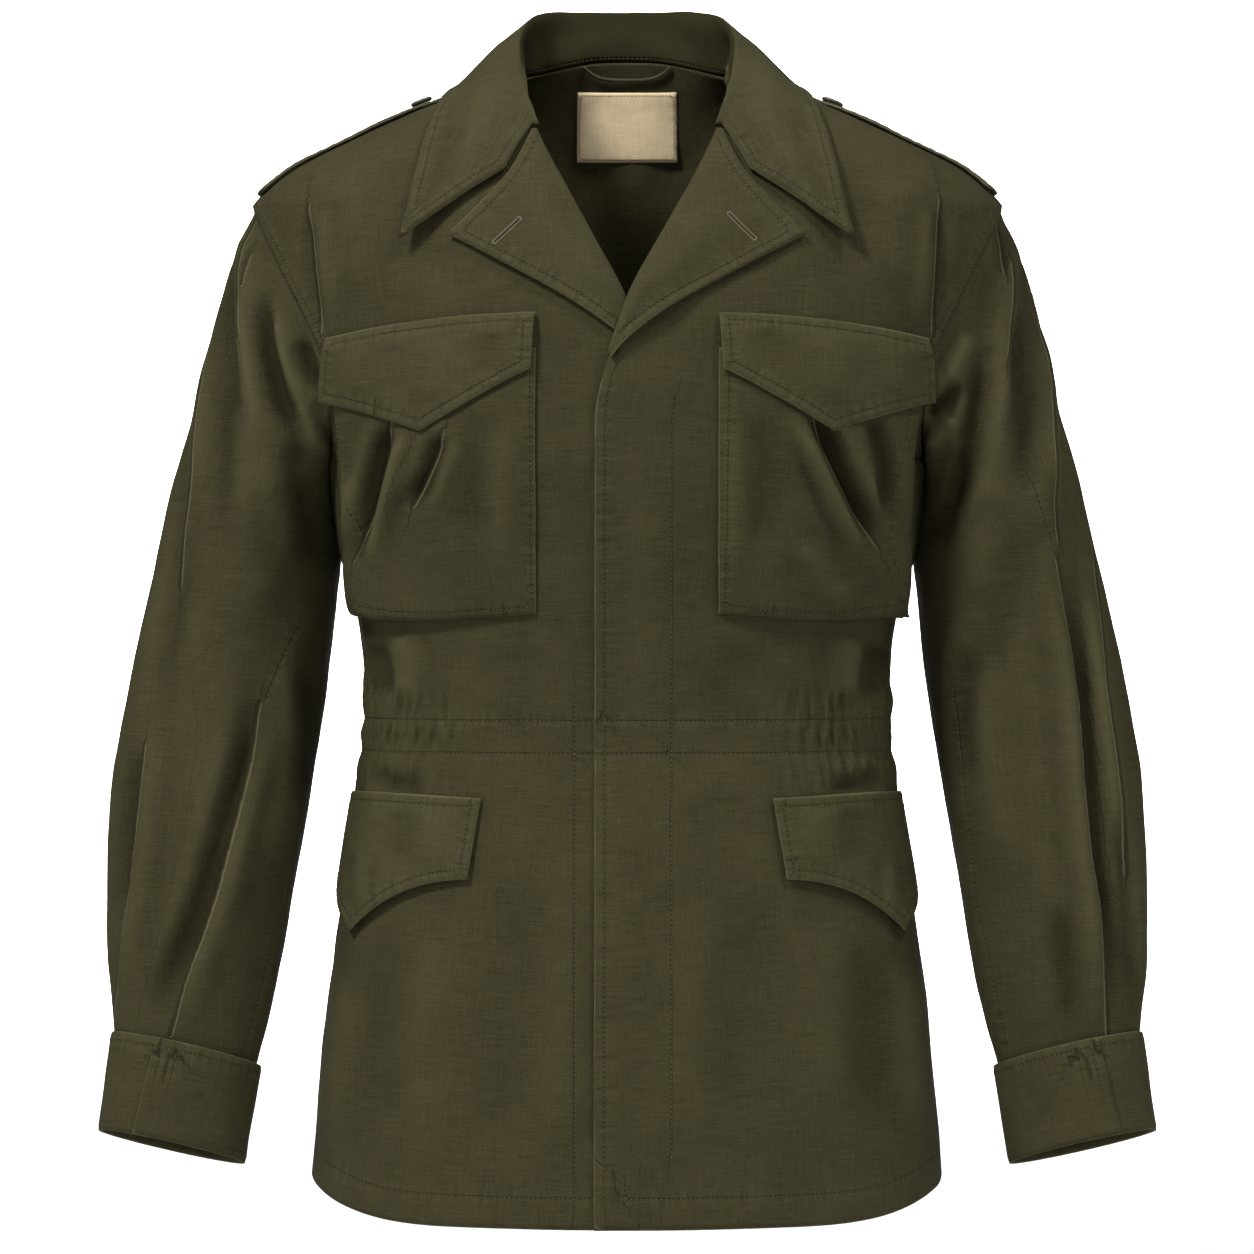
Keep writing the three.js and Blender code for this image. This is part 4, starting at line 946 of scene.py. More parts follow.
@dataclass(frozen=True)
class WovenCotton(Finish):
    """Washed cotton with slubs in both directions, pale edges of wear and painted highlight, puckered seams, and
    painted light and shade on folds and creases.
    """

    dark: tuple[float, float, float] = (0.0125, 0.0105, 0.004)
    light: tuple[float, float, float] = (0.042, 0.038, 0.0175)
    # Pale colour of worn edges, also used for the painted highlight on edges and creases.
    wear_and_highlight: tuple[float, float, float] = (0.1, 0.092, 0.05)
    # How strongly the painted light and shade of the folds and of the neck change the colour.
    painted_fold_shading: float = 0.125
    yarn: float = 0.55
    relief: float = 1.0

    def dress(self, tree: Tree) -> None:
        """Adds the weave, the slubs, the mottling, the pale edges of wear and painted highlight, the painted light and
        shade of folds and creases, and the puckers with their painted light.
        """
        place = tree.node("ShaderNodeTexCoord", {}, {}, "Object")
        lay = tree.node("ShaderNodeTexCoord", {}, {}, "UV")
        weft = tree.speckle(tree.stretched(lay, 45.0, 1500.0), 1.0)
        warp = tree.speckle(tree.stretched(lay, 1500.0, 45.0), 1.0)
        mottle = tree.speckle(place, 28.0, 3.0)
        cloud = tree.speckle(place, 9.0, 2.0)
        grain = tree.speckle(place, 900.0, 1.0)
        share = 0.5 + (weft - 0.5) * 0.85 + (warp - 0.5) * 0.6 + (mottle - 0.5) * 0.36
        share = share + (cloud - 0.5) * 0.26 + (grain - 0.5) * 0.5
        # Painted light on fold ridges, painted shade in fold troughs and on the collar where it faces the neck.
        share = share + tree.attribute("crease") * self.painted_fold_shading
        rim = tree.attribute("rim")
        along = tree.attribute("along")
        groove = self._drawn(tree, "row", 0.0011) + self._drawn(tree, "beside", 0.0011)
        line = tree.attribute("line")
        # Painted highlight along each crease and painted shadow on its dark side.
        painted_crease_highlight = self._at(line - 0.0006, 0.0012)
        painted_crease_shadow = self._at(line + 0.0016, 0.0026)
        # Pale edges: partly wear, partly painted highlight.
        wear_and_highlight = rim.near(0.0016) * (0.25 + 0.55 * tree.speckle(place, 160.0))
        beside = tree.attribute("pucker")
        ripple = tree.speckle(tree.stretched(self._line(tree, along), 210.0, 1.0), 1.0, 1.0) - 0.5
        # Puckers are coloured lighter where their relief rises, with a pale band along the seam: painted light.
        painted_pucker_light = beside * (ripple * 0.9 + 0.08)
        colour = tree.blend(share + painted_pucker_light * 0.9, self.dark, self.light)
        colour = tree.blend(wear_and_highlight, colour, self.wear_and_highlight)
        # Blends in the painted highlight and the painted shadow of the creases.
        colour = tree.blend(painted_crease_highlight * 0.6, colour, self.wear_and_highlight)
        colour = tree.blend(painted_crease_shadow * 0.55, colour, tuple(c * 0.4 for c in self.dark))
        colour = tree.blend(groove * 0.5, colour, tuple(c * 0.5 for c in self.dark))
        tree.feed("Base Color", colour)
        step = 2 * math.pi / (self.yarn * MM)
        parts = tree.node("ShaderNodeSeparateXYZ", {}, {0: lay}, 0)
        across = parts
        up = Socket(tree, parts.output.node.outputs[1])
        weave = (across * step).wave() * (up * step).wave()
        height = weave * 0.00002 + (weft - 0.5) * 0.00009 + (warp - 0.5) * 0.00008
        height = height + (tree.speckle(place, 75.0, 3.0) - 0.5) * (0.0008 * self.relief)
        height = height + (tree.speckle(place, 240.0, 2.0) - 0.5) * 0.0002
        height = height - groove * 0.0004 + painted_crease_highlight * 0.0006 - painted_crease_shadow * 0.0005 + beside * ripple * 0.0012
        height = height - rim.near(0.0012) * 0.0003
        tree.bump(height)

    @staticmethod
    def _drawn(tree: Tree, name: str, reach: float) -> Socket:
        """Draws a thin line where a signed distance passes zero."""
        return WovenCotton._at(tree.attribute(name), reach)

    @staticmethod
    def _at(off: Socket, reach: float) -> Socket:
        """Gives 1 where a signed distance is zero, falling softly on both sides."""
        return off.tree.node("ShaderNodeMath", {"operation": "ABSOLUTE"}, {0: off}).near(reach)

    @staticmethod
    def _line(tree: Tree, along: Socket) -> Socket:
        """Makes a vector of one number."""
        return tree.node("ShaderNodeCombineXYZ", {}, {0: along})


@dataclass(frozen=True)
class SewingThread(Finish):
    """Twisted thread, a shade lighter than the cloth."""

    tone: tuple[float, float, float] = (0.062, 0.055, 0.027)

    def dress(self, tree: Tree) -> None:
        """Adds the twist and its shades."""
        place = tree.node("ShaderNodeTexCoord", {}, {}, "Object")
        twist = tree.speckle(place, 2600.0, 1.0)
        tree.feed("Base Color", tree.blend(twist, tuple(c * 0.6 for c in self.tone), tuple(c * 1.3 for c in self.tone)))
        tree.bump((twist - 0.5) * 0.00006)


@dataclass(frozen=True)
class LabelTape(Finish):
    """A plain woven tape label."""

    dark: tuple[float, float, float] = (0.43, 0.34, 0.21)
    light: tuple[float, float, float] = (0.6, 0.49, 0.32)

    def dress(self, tree: Tree) -> None:
        """Adds the tape's ribs and its soft shading."""
        place = tree.node("ShaderNodeTexCoord", {}, {}, "Object")
        ribs = tree.speckle(tree.stretched(place, 70.0, 70.0, 1700.0), 1.0)
        threads = tree.speckle(tree.stretched(place, 1500.0, 60.0, 60.0), 1.0)
        cloud = tree.speckle(place, 60.0, 2.0)
        share = 0.5 + (ribs - 0.5) * 0.7 + (threads - 0.5) * 0.6 + (cloud - 0.5) * 0.5
        share = share - WovenCotton._drawn(tree, "row", 0.0012) * 0.9
        tree.feed("Base Color", tree.blend(share, self.dark, self.light))
        tree.bump((ribs - 0.5) * 0.0001 + (threads - 0.5) * 0.00008 + (cloud - 0.5) * 0.0006)


@dataclass(frozen=True)
class DyedHorn(Finish):
    """A polished dark button with cloudy streaks."""

    dark: tuple[float, float, float] = (0.012, 0.011, 0.006)
    light: tuple[float, float, float] = (0.06, 0.05, 0.026)

    def dress(self, tree: Tree) -> None:
        """Adds the streaks and fine scratches."""
        place = tree.node("ShaderNodeTexCoord", {}, {}, "Object")
        streak = tree.speckle(tree.stretched(place, 150.0, 420.0, 150.0), 1.0, 3.0)
        tree.feed("Base Color", tree.blend(streak, self.dark, self.light))
        scratch = tree.speckle(tree.stretched(place, 2200.0, 300.0, 300.0), 1.0)
        tree.feed("Roughness", 0.34 + scratch * 0.22)
        tree.bump((scratch - 0.5) * 0.00003)


CLOTH = WovenCotton("washed_cotton", sheen=0.0)
FACING_CLOTH = WovenCotton(
    "washed_cotton_collar",
    sheen=0.0,
    dark=(0.015, 0.0128, 0.005),
    light=(0.046, 0.042, 0.0195),
    wear_and_highlight=(0.11, 0.1, 0.056),
    relief=0.6,
)
THREAD = SewingThread("olive_thread", roughness=0.7, gloss=0.2)
HOLE_THREAD = SewingThread("buttonhole_thread", roughness=0.7, tone=(0.1, 0.09, 0.052))
TAPE = LabelTape("label_tape", slot="linen", roughness=0.9, sheen=0.1)
LABEL_THREAD = SewingThread("label_thread", slot="linen", roughness=0.7, tone=(0.17, 0.115, 0.055))
HORN = DyedHorn("dyed_horn", slot="horn", roughness=0.4, gloss=0.5)
# Dark marks of painted shade for the buttonhole slit and the button holes, made like thread.
SLIT_SHADE = SewingThread("buttonhole_slit_shade", roughness=0.9, tone=(0.012, 0.011, 0.006))


@dataclass
class ClothPiece:
    """One cut piece of cloth: its solid, its wall, its flat cut and what is sewn on it."""

    node: str
    wall: float
    flat: tuple[float, float]
    area: float
    held: str = "stretched"
    rests_on: tuple[str, ...] = ()
    levels: int = 3
    tube: bool = False
    away: float = 1.0
    gathers: float = 0.0
    roll: float = 0.0
    welt: float = 0.0
    # How much painted shade darkens the cloth that looks at the neck.
    shade: float = 0.0
    # Which edges turn pale, partly from wear and partly as painted highlight.
    wear_and_highlight: Edge = Edge.ALL
    folds: tuple[Fold, ...] = ()
    seams: tuple[Seam, ...] = ()
    finish: Finish = CLOTH
    thread: Finish = THREAD

    def build(self, needle: Thread) -> Skin:
        """Makes the piece, sews its rows of stitches and logs its area against its flat cut.

        Args:
            needle: The stitch that is repeated.

        Returns:
            The finished skin.
        """
        skin = Skin(self.node, self.wall, self.levels, self.tube, self.away)
        skin.shade = self.shade
        skin.wear_and_highlight = self.wear_and_highlight
        skin.shape(self.folds, self.seams, self.gathers, self.roll, self.welt)
        piece = skin.finish(self.node + "_cloth", self.finish)
        places = []
        for seam, path in skin.paths:
            if seam.pitch:
                places += needle.run(path, seam.pitch, skin.tree)
        sewn = needle.stamp(self.node + "_stitches", places, self.thread)
        surface = sum(p.area for p in skin.mesh.polygons)
        LOG.info(
            "%s: %d faces, %.4f m2 against a cut of %.4f m2, %d stitches",
            self.node,
            len(skin.mesh.polygons),
            surface,
            self.area,
            len(places),
        )
        return skin


class Body:
    """The two fronts and the back, with the waist drawn in at the sides."""

    channel: tuple[float, float] = (-404.0, -424.5)
    armhole_rows: tuple[float, float] = (1.8, 7.5)
    hem_row: float = 19.6
    edge_row: float = 6.4
    fly_row: float = 48.5

    right_folds: tuple[Fold, ...] = (
        Fold(((337, 440), (339, 520), (344, 600)), 2.4, 14.0, Facing.SIDE, painted_shading=0.0),
        Fold(((306, 206), (314, 275), (323, 340)), -2.2, 5.0, painted_shading=0.6),
        Fold(((316, 200), (324, 270), (331, 336)), 1.4, 7.0, painted_shading=0.5),
        Fold(((352, 170), (348, 225), (350, 300)), 1.8, 15.0),
        Fold(((400, 150), (420, 215), (430, 290)), -1.8, 16.0),
        Fold(((372, 640), (380, 672), (384, 704)), -2.7, 8.0),
        Fold(((405, 632), (412, 668), (409, 706)), 1.8, 8.0),
        Fold(((372, 770), (392, 782), (430, 790)), -1.8, 6.0),
        Fold(((500, 640), (520, 700), (515, 760)), -1.6, 15.0),
        Fold(((390, 930), (380, 1040), (372, 1150)), -2.7, 14.0),
        Fold(((430, 900), (428, 1020), (425, 1180)), 1.8, 17.0),
        Fold(((500, 890), (512, 1010), (505, 1180)), -2.2, 18.0),
        Fold(((560, 860), (566, 1000), (562, 1180)), 1.7, 15.0),
        Fold(((345, 960), (338, 1060), (332, 1150)), 1.7, 9.0),
    )
    left_folds: tuple[Fold, ...] = (
        Fold(((918, 440), (916, 520), (911, 600)), 2.4, 14.0, Facing.SIDE, painted_shading=0.0),
        Fold(((942, 198), (939, 270), (931, 340)), -2.2, 5.0, painted_shading=0.6),
        Fold(((931, 196), (929, 268), (923, 334)), 1.4, 7.0, painted_shading=0.5),
        Fold(((900, 168), (903, 235), (898, 300)), 1.8, 15.0),
        Fold(((858, 150), (842, 215), (836, 290)), -1.8, 16.0),
        Fold(((882, 640), (875, 672), (870, 704)), -2.7, 8.0),
        Fold(((848, 632), (842, 668), (846, 706)), 1.8, 8.0),
        Fold(((884, 770), (862, 782), (826, 790)), -1.8, 6.0),
        Fold(((742, 640), (728, 700), (735, 760)), -1.6, 15.0),
        Fold(((864, 930), (874, 1040), (884, 1150)), -2.7, 14.0),
        Fold(((826, 900), (829, 1020), (834, 1180)), 1.8, 17.0),
        Fold(((756, 890), (744, 1010), (750, 1180)), -2.2, 18.0),
        Fold(((640, 470), (646, 640), (641, 800)), 1.4, 12.0),
        Fold(((700, 860), (694, 1000), (698, 1180)), 1.7, 15.0),
        Fold(((909, 960), (916, 1060), (922, 1150)), 1.7, 9.0),
    )
    back_folds: tuple[Fold, ...] = (
        Fold(((337, 440), (339, 520), (344, 600)), 2.4, 14.0, Facing.SIDE, painted_shading=0.0),
        Fold(((918, 440), (916, 520), (911, 600)), 2.4, 14.0, Facing.SIDE, painted_shading=0.0),
        Fold(((520, 120), (515, 210), (530, 330)), -3.1, 15.0, Facing.BACK),
        Fold(((735, 120), (742, 220), (726, 340)), -3.1, 15.0, Facing.BACK),
        Fold(((600, 150), (592, 230), (600, 320)), 2.1, 13.0, Facing.BACK),
        Fold(((668, 140), (676, 225), (664, 310)), 2.0, 13.0, Facing.BACK),
        Fold(((330, 330), (370, 420), (420, 480)), -3.5, 12.0, Facing.BACK),
        Fold(((925, 330), (885, 425), (838, 480)), -3.5, 12.0, Facing.BACK),
        Fold(((345, 420), (390, 520), (450, 600)), 2.0, 13.0, Facing.BACK),
        Fold(((910, 420), (866, 520), (806, 600)), 2.0, 13.0, Facing.BACK),
        Fold(((470, 620), (485, 680), (480, 710)), -2.3, 9.0, Facing.BACK),
        Fold(((560, 600), (566, 670), (560, 712)), 1.7, 10.0, Facing.BACK),
        Fold(((640, 610), (634, 670), (640, 712)), -2.2, 10.0, Facing.BACK),
        Fold(((720, 600), (712, 670), (718, 712)), 1.7, 10.0, Facing.BACK),
        Fold(((790, 620), (776, 680), (782, 710)), -2.3, 9.0, Facing.BACK),
        Fold(((450, 765), (440, 900), (425, 1150)), -3.1, 16.0, Facing.BACK),
        Fold(((540, 770), (546, 930), (538, 1160)), 2.1, 17.0, Facing.BACK),
        Fold(((628, 770), (622, 940), (630, 1170)), -2.7, 18.0, Facing.BACK),
        Fold(((712, 770), (708, 930), (718, 1160)), 2.1, 17.0, Facing.BACK),
        Fold(((806, 765), (816, 900), (830, 1150)), -3.1, 16.0, Facing.BACK),
    )

    def pieces(self) -> list[ClothPiece]:
        """Lists the three panels with their rows of stitches."""
        level = tuple(Seam(level=z, puckers=z > -410) for z in self.channel)
        armhole = tuple(Seam(inset=d, edge=Edge.ARMHOLE, puckers=d > 5) for d in self.armhole_rows)
        hem = (Seam(inset=self.hem_row, edge=Edge.HEM),)
        left = (
            Seam(inset=self.edge_row, edge=Edge.FRONT),
            Seam(inset=self.fly_row, edge=Edge.FRONT, puckers=False),
            Seam(pixels=((941, 200), (938, 270), (932, 336)), pitch=0.0, dark=1.0),
        )
        right = (
            Seam(pixels=((575, 700), (575, 900), (575, 1100), (575, 1221)), puckers=False),
            Seam(pixels=((308, 208), (315, 275), (323, 336)), pitch=0.0),
        )
        tack = Seam(pixels=((598, 1164), (606, 1170)), pitch=0.8, puckers=False)
        side = (Seam(inset=1.8, edge=Edge.SIDE, puckers=False), Seam(inset=7.5, edge=Edge.SIDE))
        shoulder = (Seam(inset=1.8, edge=Edge.SHOULDER),)
        flat = (0.31, 0.77)
        return [
            ClothPiece(
                "front_right",
                1.5,
                flat,
                0.185,
                gathers=2.3,
                wear_and_highlight=Edge.OPEN,
                welt=0.9,
                folds=self.right_folds,
                seams=level + armhole + hem + right,
            ),
            ClothPiece(
                "front_left",
                1.5,
                flat,
                0.185,
                gathers=2.3,
                wear_and_highlight=Edge.OPEN,
                welt=0.9,
                folds=self.left_folds,
                seams=level + armhole + hem + left + (tack,),
            ),
            ClothPiece(
                "back",
                1.5,
                (0.6, 0.78),
                0.375,
                gathers=2.3,
                wear_and_highlight=Edge.OPEN,
                welt=0.9,
                folds=self.back_folds,
                seams=level + armhole + hem + side + shoulder,
            ),
        ]


class Sleeves:
    """The two sleeves with their cuffs."""

    right_folds: tuple[Fold, ...] = (
        Fold(((262, 700), (252, 760), (238, 815), (218, 893), (203, 940), (187, 983), (169, 1046)), 3.6, 11.0, left=0.16),
        Fold(((256, 690), (246, 752), (229, 812), (207, 890), (189, 938), (170, 983), (150, 1040)), -3.4, 8.0),
        Fold(((228, 640), (224, 740), (206, 840), (190, 930)), 1.6, 15.0),
        Fold(((150, 720), (141, 800), (131, 900), (116, 1026)), 1.8, 8.0, left=0.3),
        Fold(((140, 730), (130, 820), (119, 930)), -2.0, 7.0),
        Fold(((284, 640), (292, 720), (290, 800), (276, 900)), 1.8, 13.0),
        Fold(((307, 660), (312, 730), (303, 810)), -2.6, 8.0),
        Fold(((246, 820), (236, 900), (226, 990)), 1.0, 10.0),
        Fold(((262, 214), (247, 246), (241, 276), (241, 308), (245, 347), (252, 400), (260, 460)), 2.4, 9.0, left=0.6),
        Fold(((232, 236), (228, 310), (225, 383), (222, 475), (216, 560)), -2.6, 9.0),
        Fold(((212, 330), (205, 384), (194, 475), (186, 540), (176, 620)), 1.4, 8.0, left=0.4),
        Fold(((200, 430), (188, 540), (172, 650), (160, 760)), -1.2, 7.0),
        Fold(((262, 290), (268, 350), (284, 402), (312, 446)), -4.2, 8.0, right=0.6),
        Fold(((276, 310), (296, 372), (318, 416)), 2.6, 7.0),
        Fold(((298, 338), (310, 372), (322, 396)), -3.2, 6.0),
        Fold(((300, 400), (314, 436), (326, 462)), 2.0, 6.0),
        Fold(((292, 430), (304, 470), (318, 520), (328, 580)), -3.6, 12.0),
        Fold(((262, 450), (258, 540), (266, 640)), 1.8, 17.0),
        Fold(((238, 330), (262, 420), (300, 470)), -4.0, 11.0, Facing.BACK),
        Fold(((205, 400), (212, 520), (240, 620)), 2.8, 12.0, Facing.BACK),
        Fold(((290, 480), (262, 570), (230, 640)), -3.8, 10.0, Facing.BACK, right=0.6),
        Fold(((310, 560), (282, 640), (250, 700)), 3.0, 9.0, Facing.BACK),
        Fold(((180, 640), (170, 780), (160, 940)), -3.2, 10.0, Facing.BACK),
        Fold(((262, 720), (240, 860), (215, 1000)), 3.0, 11.0, Facing.BACK, left=0.5),
        Fold(((214, 900), (204, 960), (196, 1030)), -2.4, 7.0, Facing.BACK),
    )
    left_folds: tuple[Fold, ...] = (
        Fold(((1055, 556), (1067, 636), (1077, 694), (1084, 782), (1091, 859), (1100, 906), (1107, 1045)), 3.6, 10.0, right=0.16),
        Fold(((1062, 560), (1074, 636), (1084, 694), (1091, 782), (1099, 859), (1111, 940), (1117, 1040)), -3.2, 6.0),
        Fold(((1080, 570), (1092, 640), (1102, 710), (1112, 790), (1124, 880)), 2.2, 8.0, left=0.5),
        Fold(((1028, 640), (1034, 740), (1048, 850), (1066, 950)), 1.4, 15.0),
        Fold(((1114, 800), (1124, 880), (1130, 960), (1136, 1030)), -2.0, 5.0),
        Fold(((1020, 520), (1010, 590), (992, 650), (968, 700)), -2.6, 12.0),
        Fold(((968, 640), (962, 720), (970, 800)), -2.2, 8.0),
        Fold(((985, 690), (992, 780), (1004, 880)), 1.6, 12.0),
        Fold(((1058, 900), (1066, 970), (1072, 1040)), -1.8, 8.0),
        Fold(((997, 216), (1003, 246), (1004, 284)), -1.6, 5.0),
        Fold(((1010, 240), (1009, 310), (1005, 361), (998, 407), (990, 460)), 2.6, 9.0, right=0.6),
        Fold(((1022, 300), (1027, 397), (1027, 441), (1020, 520)), -3.4, 9.0),
        Fold(((985, 360), (974, 420), (960, 480), (940, 530)), -4.2, 9.0, left=0.6),
        Fold(((1038, 317), (1049, 384), (1054, 453), (1060, 530)), 1.6, 8.0, right=0.4),
        Fold(((972, 330), (952, 372), (932, 402)), 3.0, 7.0),
        Fold(((957, 380), (942, 404), (926, 424)), -3.4, 6.0),
        Fold(((953, 415), (940, 432), (926, 450)), 2.6, 6.0),
        Fold(((958, 440), (944, 490), (926, 560)), -3.4, 11.0),
        Fold(((1000, 470), (992, 540), (975, 610)), 1.8, 15.0),
        Fold(((1016, 330), (994, 420), (956, 470)), -4.0, 11.0, Facing.BACK),
        Fold(((1050, 400), (1042, 520), (1014, 620)), 2.8, 12.0, Facing.BACK),
        Fold(((965, 480), (994, 570), (1024, 640)), -3.8, 10.0, Facing.BACK, left=0.6),
        Fold(((946, 560), (972, 640), (1004, 700)), 3.0, 9.0, Facing.BACK),
        Fold(((1076, 640), (1086, 780), (1096, 940)), -3.2, 10.0, Facing.BACK),
        Fold(((994, 720), (1016, 860), (1040, 1000)), 3.0, 11.0, Facing.BACK, right=0.5),
        Fold(((1040, 900), (1051, 960), (1060, 1030)), -2.4, 7.0, Facing.BACK),
    )
    right_seams: tuple[Seam, ...] = (
        Seam(pixels=((300, 626), (280, 665), (265, 703)), pitch=4.2),
        Seam(pixels=((290, 850), (282, 919), (262, 990), (244, 1056))),
        Seam(pixels=((262, 704), (252, 760), (238, 815), (218, 893), (203, 940), (187, 983), (171, 1040)), pitch=0.0),
        Seam(pixels=((146, 745), (138, 820), (129, 900), (113, 1026)), pitch=0.0),
        Seam(pixels=((210, 338), (205, 384), (199, 418), (194, 475), (186, 533), (180, 590)), pitch=0.0),
        Seam(pixels=((256, 222), (247, 246), (241, 276), (241, 308), (244, 340)), pitch=0.0),
        Seam(pixels=((254, 256), (249, 272), (245, 290)), pitch=0.0),
    )
    left_seams: tuple[Seam, ...] = (
        Seam(pixels=((1034, 480), (1045, 517), (1057, 553)), pitch=4.2),
        Seam(pixels=((952, 690), (958, 753), (970, 835), (975, 898), (990, 959), (1008, 1057))),
        Seam(pixels=((1056, 560), (1067, 636), (1077, 694), (1084, 782), (1091, 859), (1100, 906), (1107, 1040)), pitch=0.0, dark=1.0),
        Seam(pixels=((1092, 540), (1100, 620), (1105, 690), (1113, 740), (1121, 800), (1128, 880)), pitch=0.0, dark=1.0),
        Seam(pixels=((1038, 317), (1049, 384), (1052, 453), (1054, 498), (1059, 548)), pitch=0.0, dark=1.0),
        Seam(pixels=((1011, 264), (1009, 310), (1005, 361)), pitch=0.0, dark=1.0),
        Seam(pixels=((999, 226), (1003, 246), (1004, 280)), pitch=0.0, dark=1.0),
    )

    def pieces(self) -> list[ClothPiece]:
        """Lists the sleeves and their cuffs."""
        flat = (0.42, 0.6)
        made = [
            ClothPiece("sleeve_right", 1.5, flat, 0.205, tube=True, wear_and_highlight=Edge.NONE, folds=self.right_folds, seams=self.right_seams),
            ClothPiece("sleeve_left", 1.5, flat, 0.205, tube=True, wear_and_highlight=Edge.NONE, folds=self.left_folds, seams=self.left_seams),
        ]
        for name in ("right", "left"):
            made.append(
                ClothPiece(
                    "cuff_" + name,
                    1.5,
                    (0.32, 0.064),
                    0.0203,
                    tube=False,
                    levels=2,
                    roll=0.5,
                    rests_on=("sleeve_" + name + "_cloth",),
                    seams=(Seam(inset=5.8, edge=Edge.CUFF),),
                )
            )
        return made


class Neck:
    """The collar, the lapels with their buttonholes, the label and the hanger loop."""

    buttonholes: dict[str, Pixels] = {
        "lapel_right": ((520, 219), (495, 242)),
        "lapel_left": ((730, 214), (755, 238.5)),
    }
    collar_folds: tuple[Fold, ...] = (
        Fold(((505, 60), (480, 120), (455, 180)), 0.9, 9.0),
        Fold(((752, 60), (775, 120), (800, 180)), 0.9, 9.0),
        Fold(((470, 100), (440, 170), (418, 220)), -0.7, 7.0),
        Fold(((785, 100), (815, 170), (836, 218)), -0.7, 7.0),
        Fold(((530, 44), (560, 38), (590, 24)), -1.3, 8.0),
        Fold(((574, 56), (604, 44), (640, 38)), 1.1, 7.0),
        Fold(((640, 20), (672, 34), (700, 52)), -1.3, 8.0),
        Fold(((676, 22), (704, 30), (726, 44)), 1.1, 7.0),
        Fold(((610, 18), (632, 26), (655, 24)), -0.9, 6.0),
        Fold(((560, 60), (555, 95)), -0.8, 10.0, Facing.BACK),
        Fold(((690, 60), (697, 95)), -0.8, 10.0, Facing.BACK),
    )
    right_folds: tuple[Fold, ...] = (
        Fold(((520, 190), (560, 240), (600, 300)), 0.8, 9.0),
        Fold(((480, 225), (540, 280), (600, 330)), -0.6, 8.0),
    )
    left_folds: tuple[Fold, ...] = (
        Fold(((736, 190), (694, 240), (652, 300)), 0.8, 9.0),
        Fold(((776, 222), (716, 268), (655, 312)), -0.6, 8.0),
    )

    def pieces(self) -> list[ClothPiece]:
        """Lists the collar, the lapels and the label."""
        lapel = (Seam(inset=6.0, edge=Edge.LAPEL),)
        return [
            ClothPiece(
                "collar",
                2.0,
                (0.62, 0.125),
                0.068,
                held="folded",
                levels=2,
                roll=0.6,
                # The stand gets painted shade where it looks at the neck.
                shade=13.0,
                wear_and_highlight=Edge.COLLAR,
                folds=self.collar_folds,
                seams=(Seam(inset=6.0, edge=Edge.COLLAR), Seam(inset=2.0, edge=Edge.STAND)),
                finish=FACING_CLOTH,
            ),
            ClothPiece(
                "lapel_right",
                1.3,
                (0.13, 0.16),
                0.0088,
                held="folded",
                levels=2,
                rests_on=("front_right_cloth",),
                roll=0.5,
                folds=self.right_folds,
                seams=lapel,
                finish=FACING_CLOTH,
            ),
            ClothPiece(
                "lapel_left",
                1.3,
                (0.13, 0.16),
                0.0095,
                held="folded",
                levels=2,
                rests_on=("front_left_cloth",),
                roll=0.5,
                folds=self.left_folds,
                seams=lapel,
                finish=FACING_CLOTH,
            ),
            ClothPiece(
                "neck_label",
                1.0,
                (0.068, 0.046),
                0.0031,
                rests_on=("back_cloth",),
                away=-1.0,
                levels=2,
                roll=0.3,
                seams=(Seam(inset=2.0, pitch=2.6),),
                finish=TAPE,
                thread=LABEL_THREAD,
            ),
        ]

    def buttonhole(self, skin: Skin, pixels: Pixels) -> None:
        """Works a buttonhole: a dark strip of painted shade for the slit, inside a close row of stitches.

        Args:
            skin: The lapel.
            pixels: The slit's two ends in the view.
        """
        ends = []
        for x, z in VIEW.places(pixels):
            found, normal, _, _ = skin.tree.ray_cast(*VIEW.ray(x, z, Facing.FRONT))
            ends.append((found, normal))
        (a, up_a), (b, up_b) = ends
        up = (up_a + up_b).normalized()
        along = (b - a).normalized()
        side = up.cross(along).normalized()
        length = (b - a).length
        half, pitch = 1.1 * MM, 0.66 * MM
        places = []
        count = int(length / pitch)
        for k in range(count + 1):
            for way in (-1.0, 1.0):
                spot = a.lerp(b, k / count) + side * way * half
                found, normal, _, _ = skin.tree.find_nearest(spot)
                places.append(Thread.place(found + normal * 0.12 * MM, side, normal))
        for end, sign in ((a, -1.0), (b, 1.0)):
            for k in range(-3, 4):
                turn = math.radians(26.0 * k)
                way = along * sign * math.cos(turn) + side * math.sin(turn)
                found, normal, _, _ = skin.tree.find_nearest(end + way * half * 1.15)
                places.append(Thread.place(found + normal * 0.12 * MM, way, normal))
        Thread(1.9, 0.66, 0.6).stamp(skin.node + "_buttonhole", places, HOLE_THREAD)
        # Painted shade for the slit: dark marks along it instead of an opening.
        slit = []
        for k in range(int(length / (0.9 * MM))):
            found, normal, _, _ = skin.tree.find_nearest(a + along * (k + 0.5) * 0.9 * MM)
            slit.append(Thread.place(found + normal * 0.1 * MM, along, normal))
        Thread(1.6, 1.3, 0.3).stamp(skin.node + "_slit", slit, SLIT_SHADE)

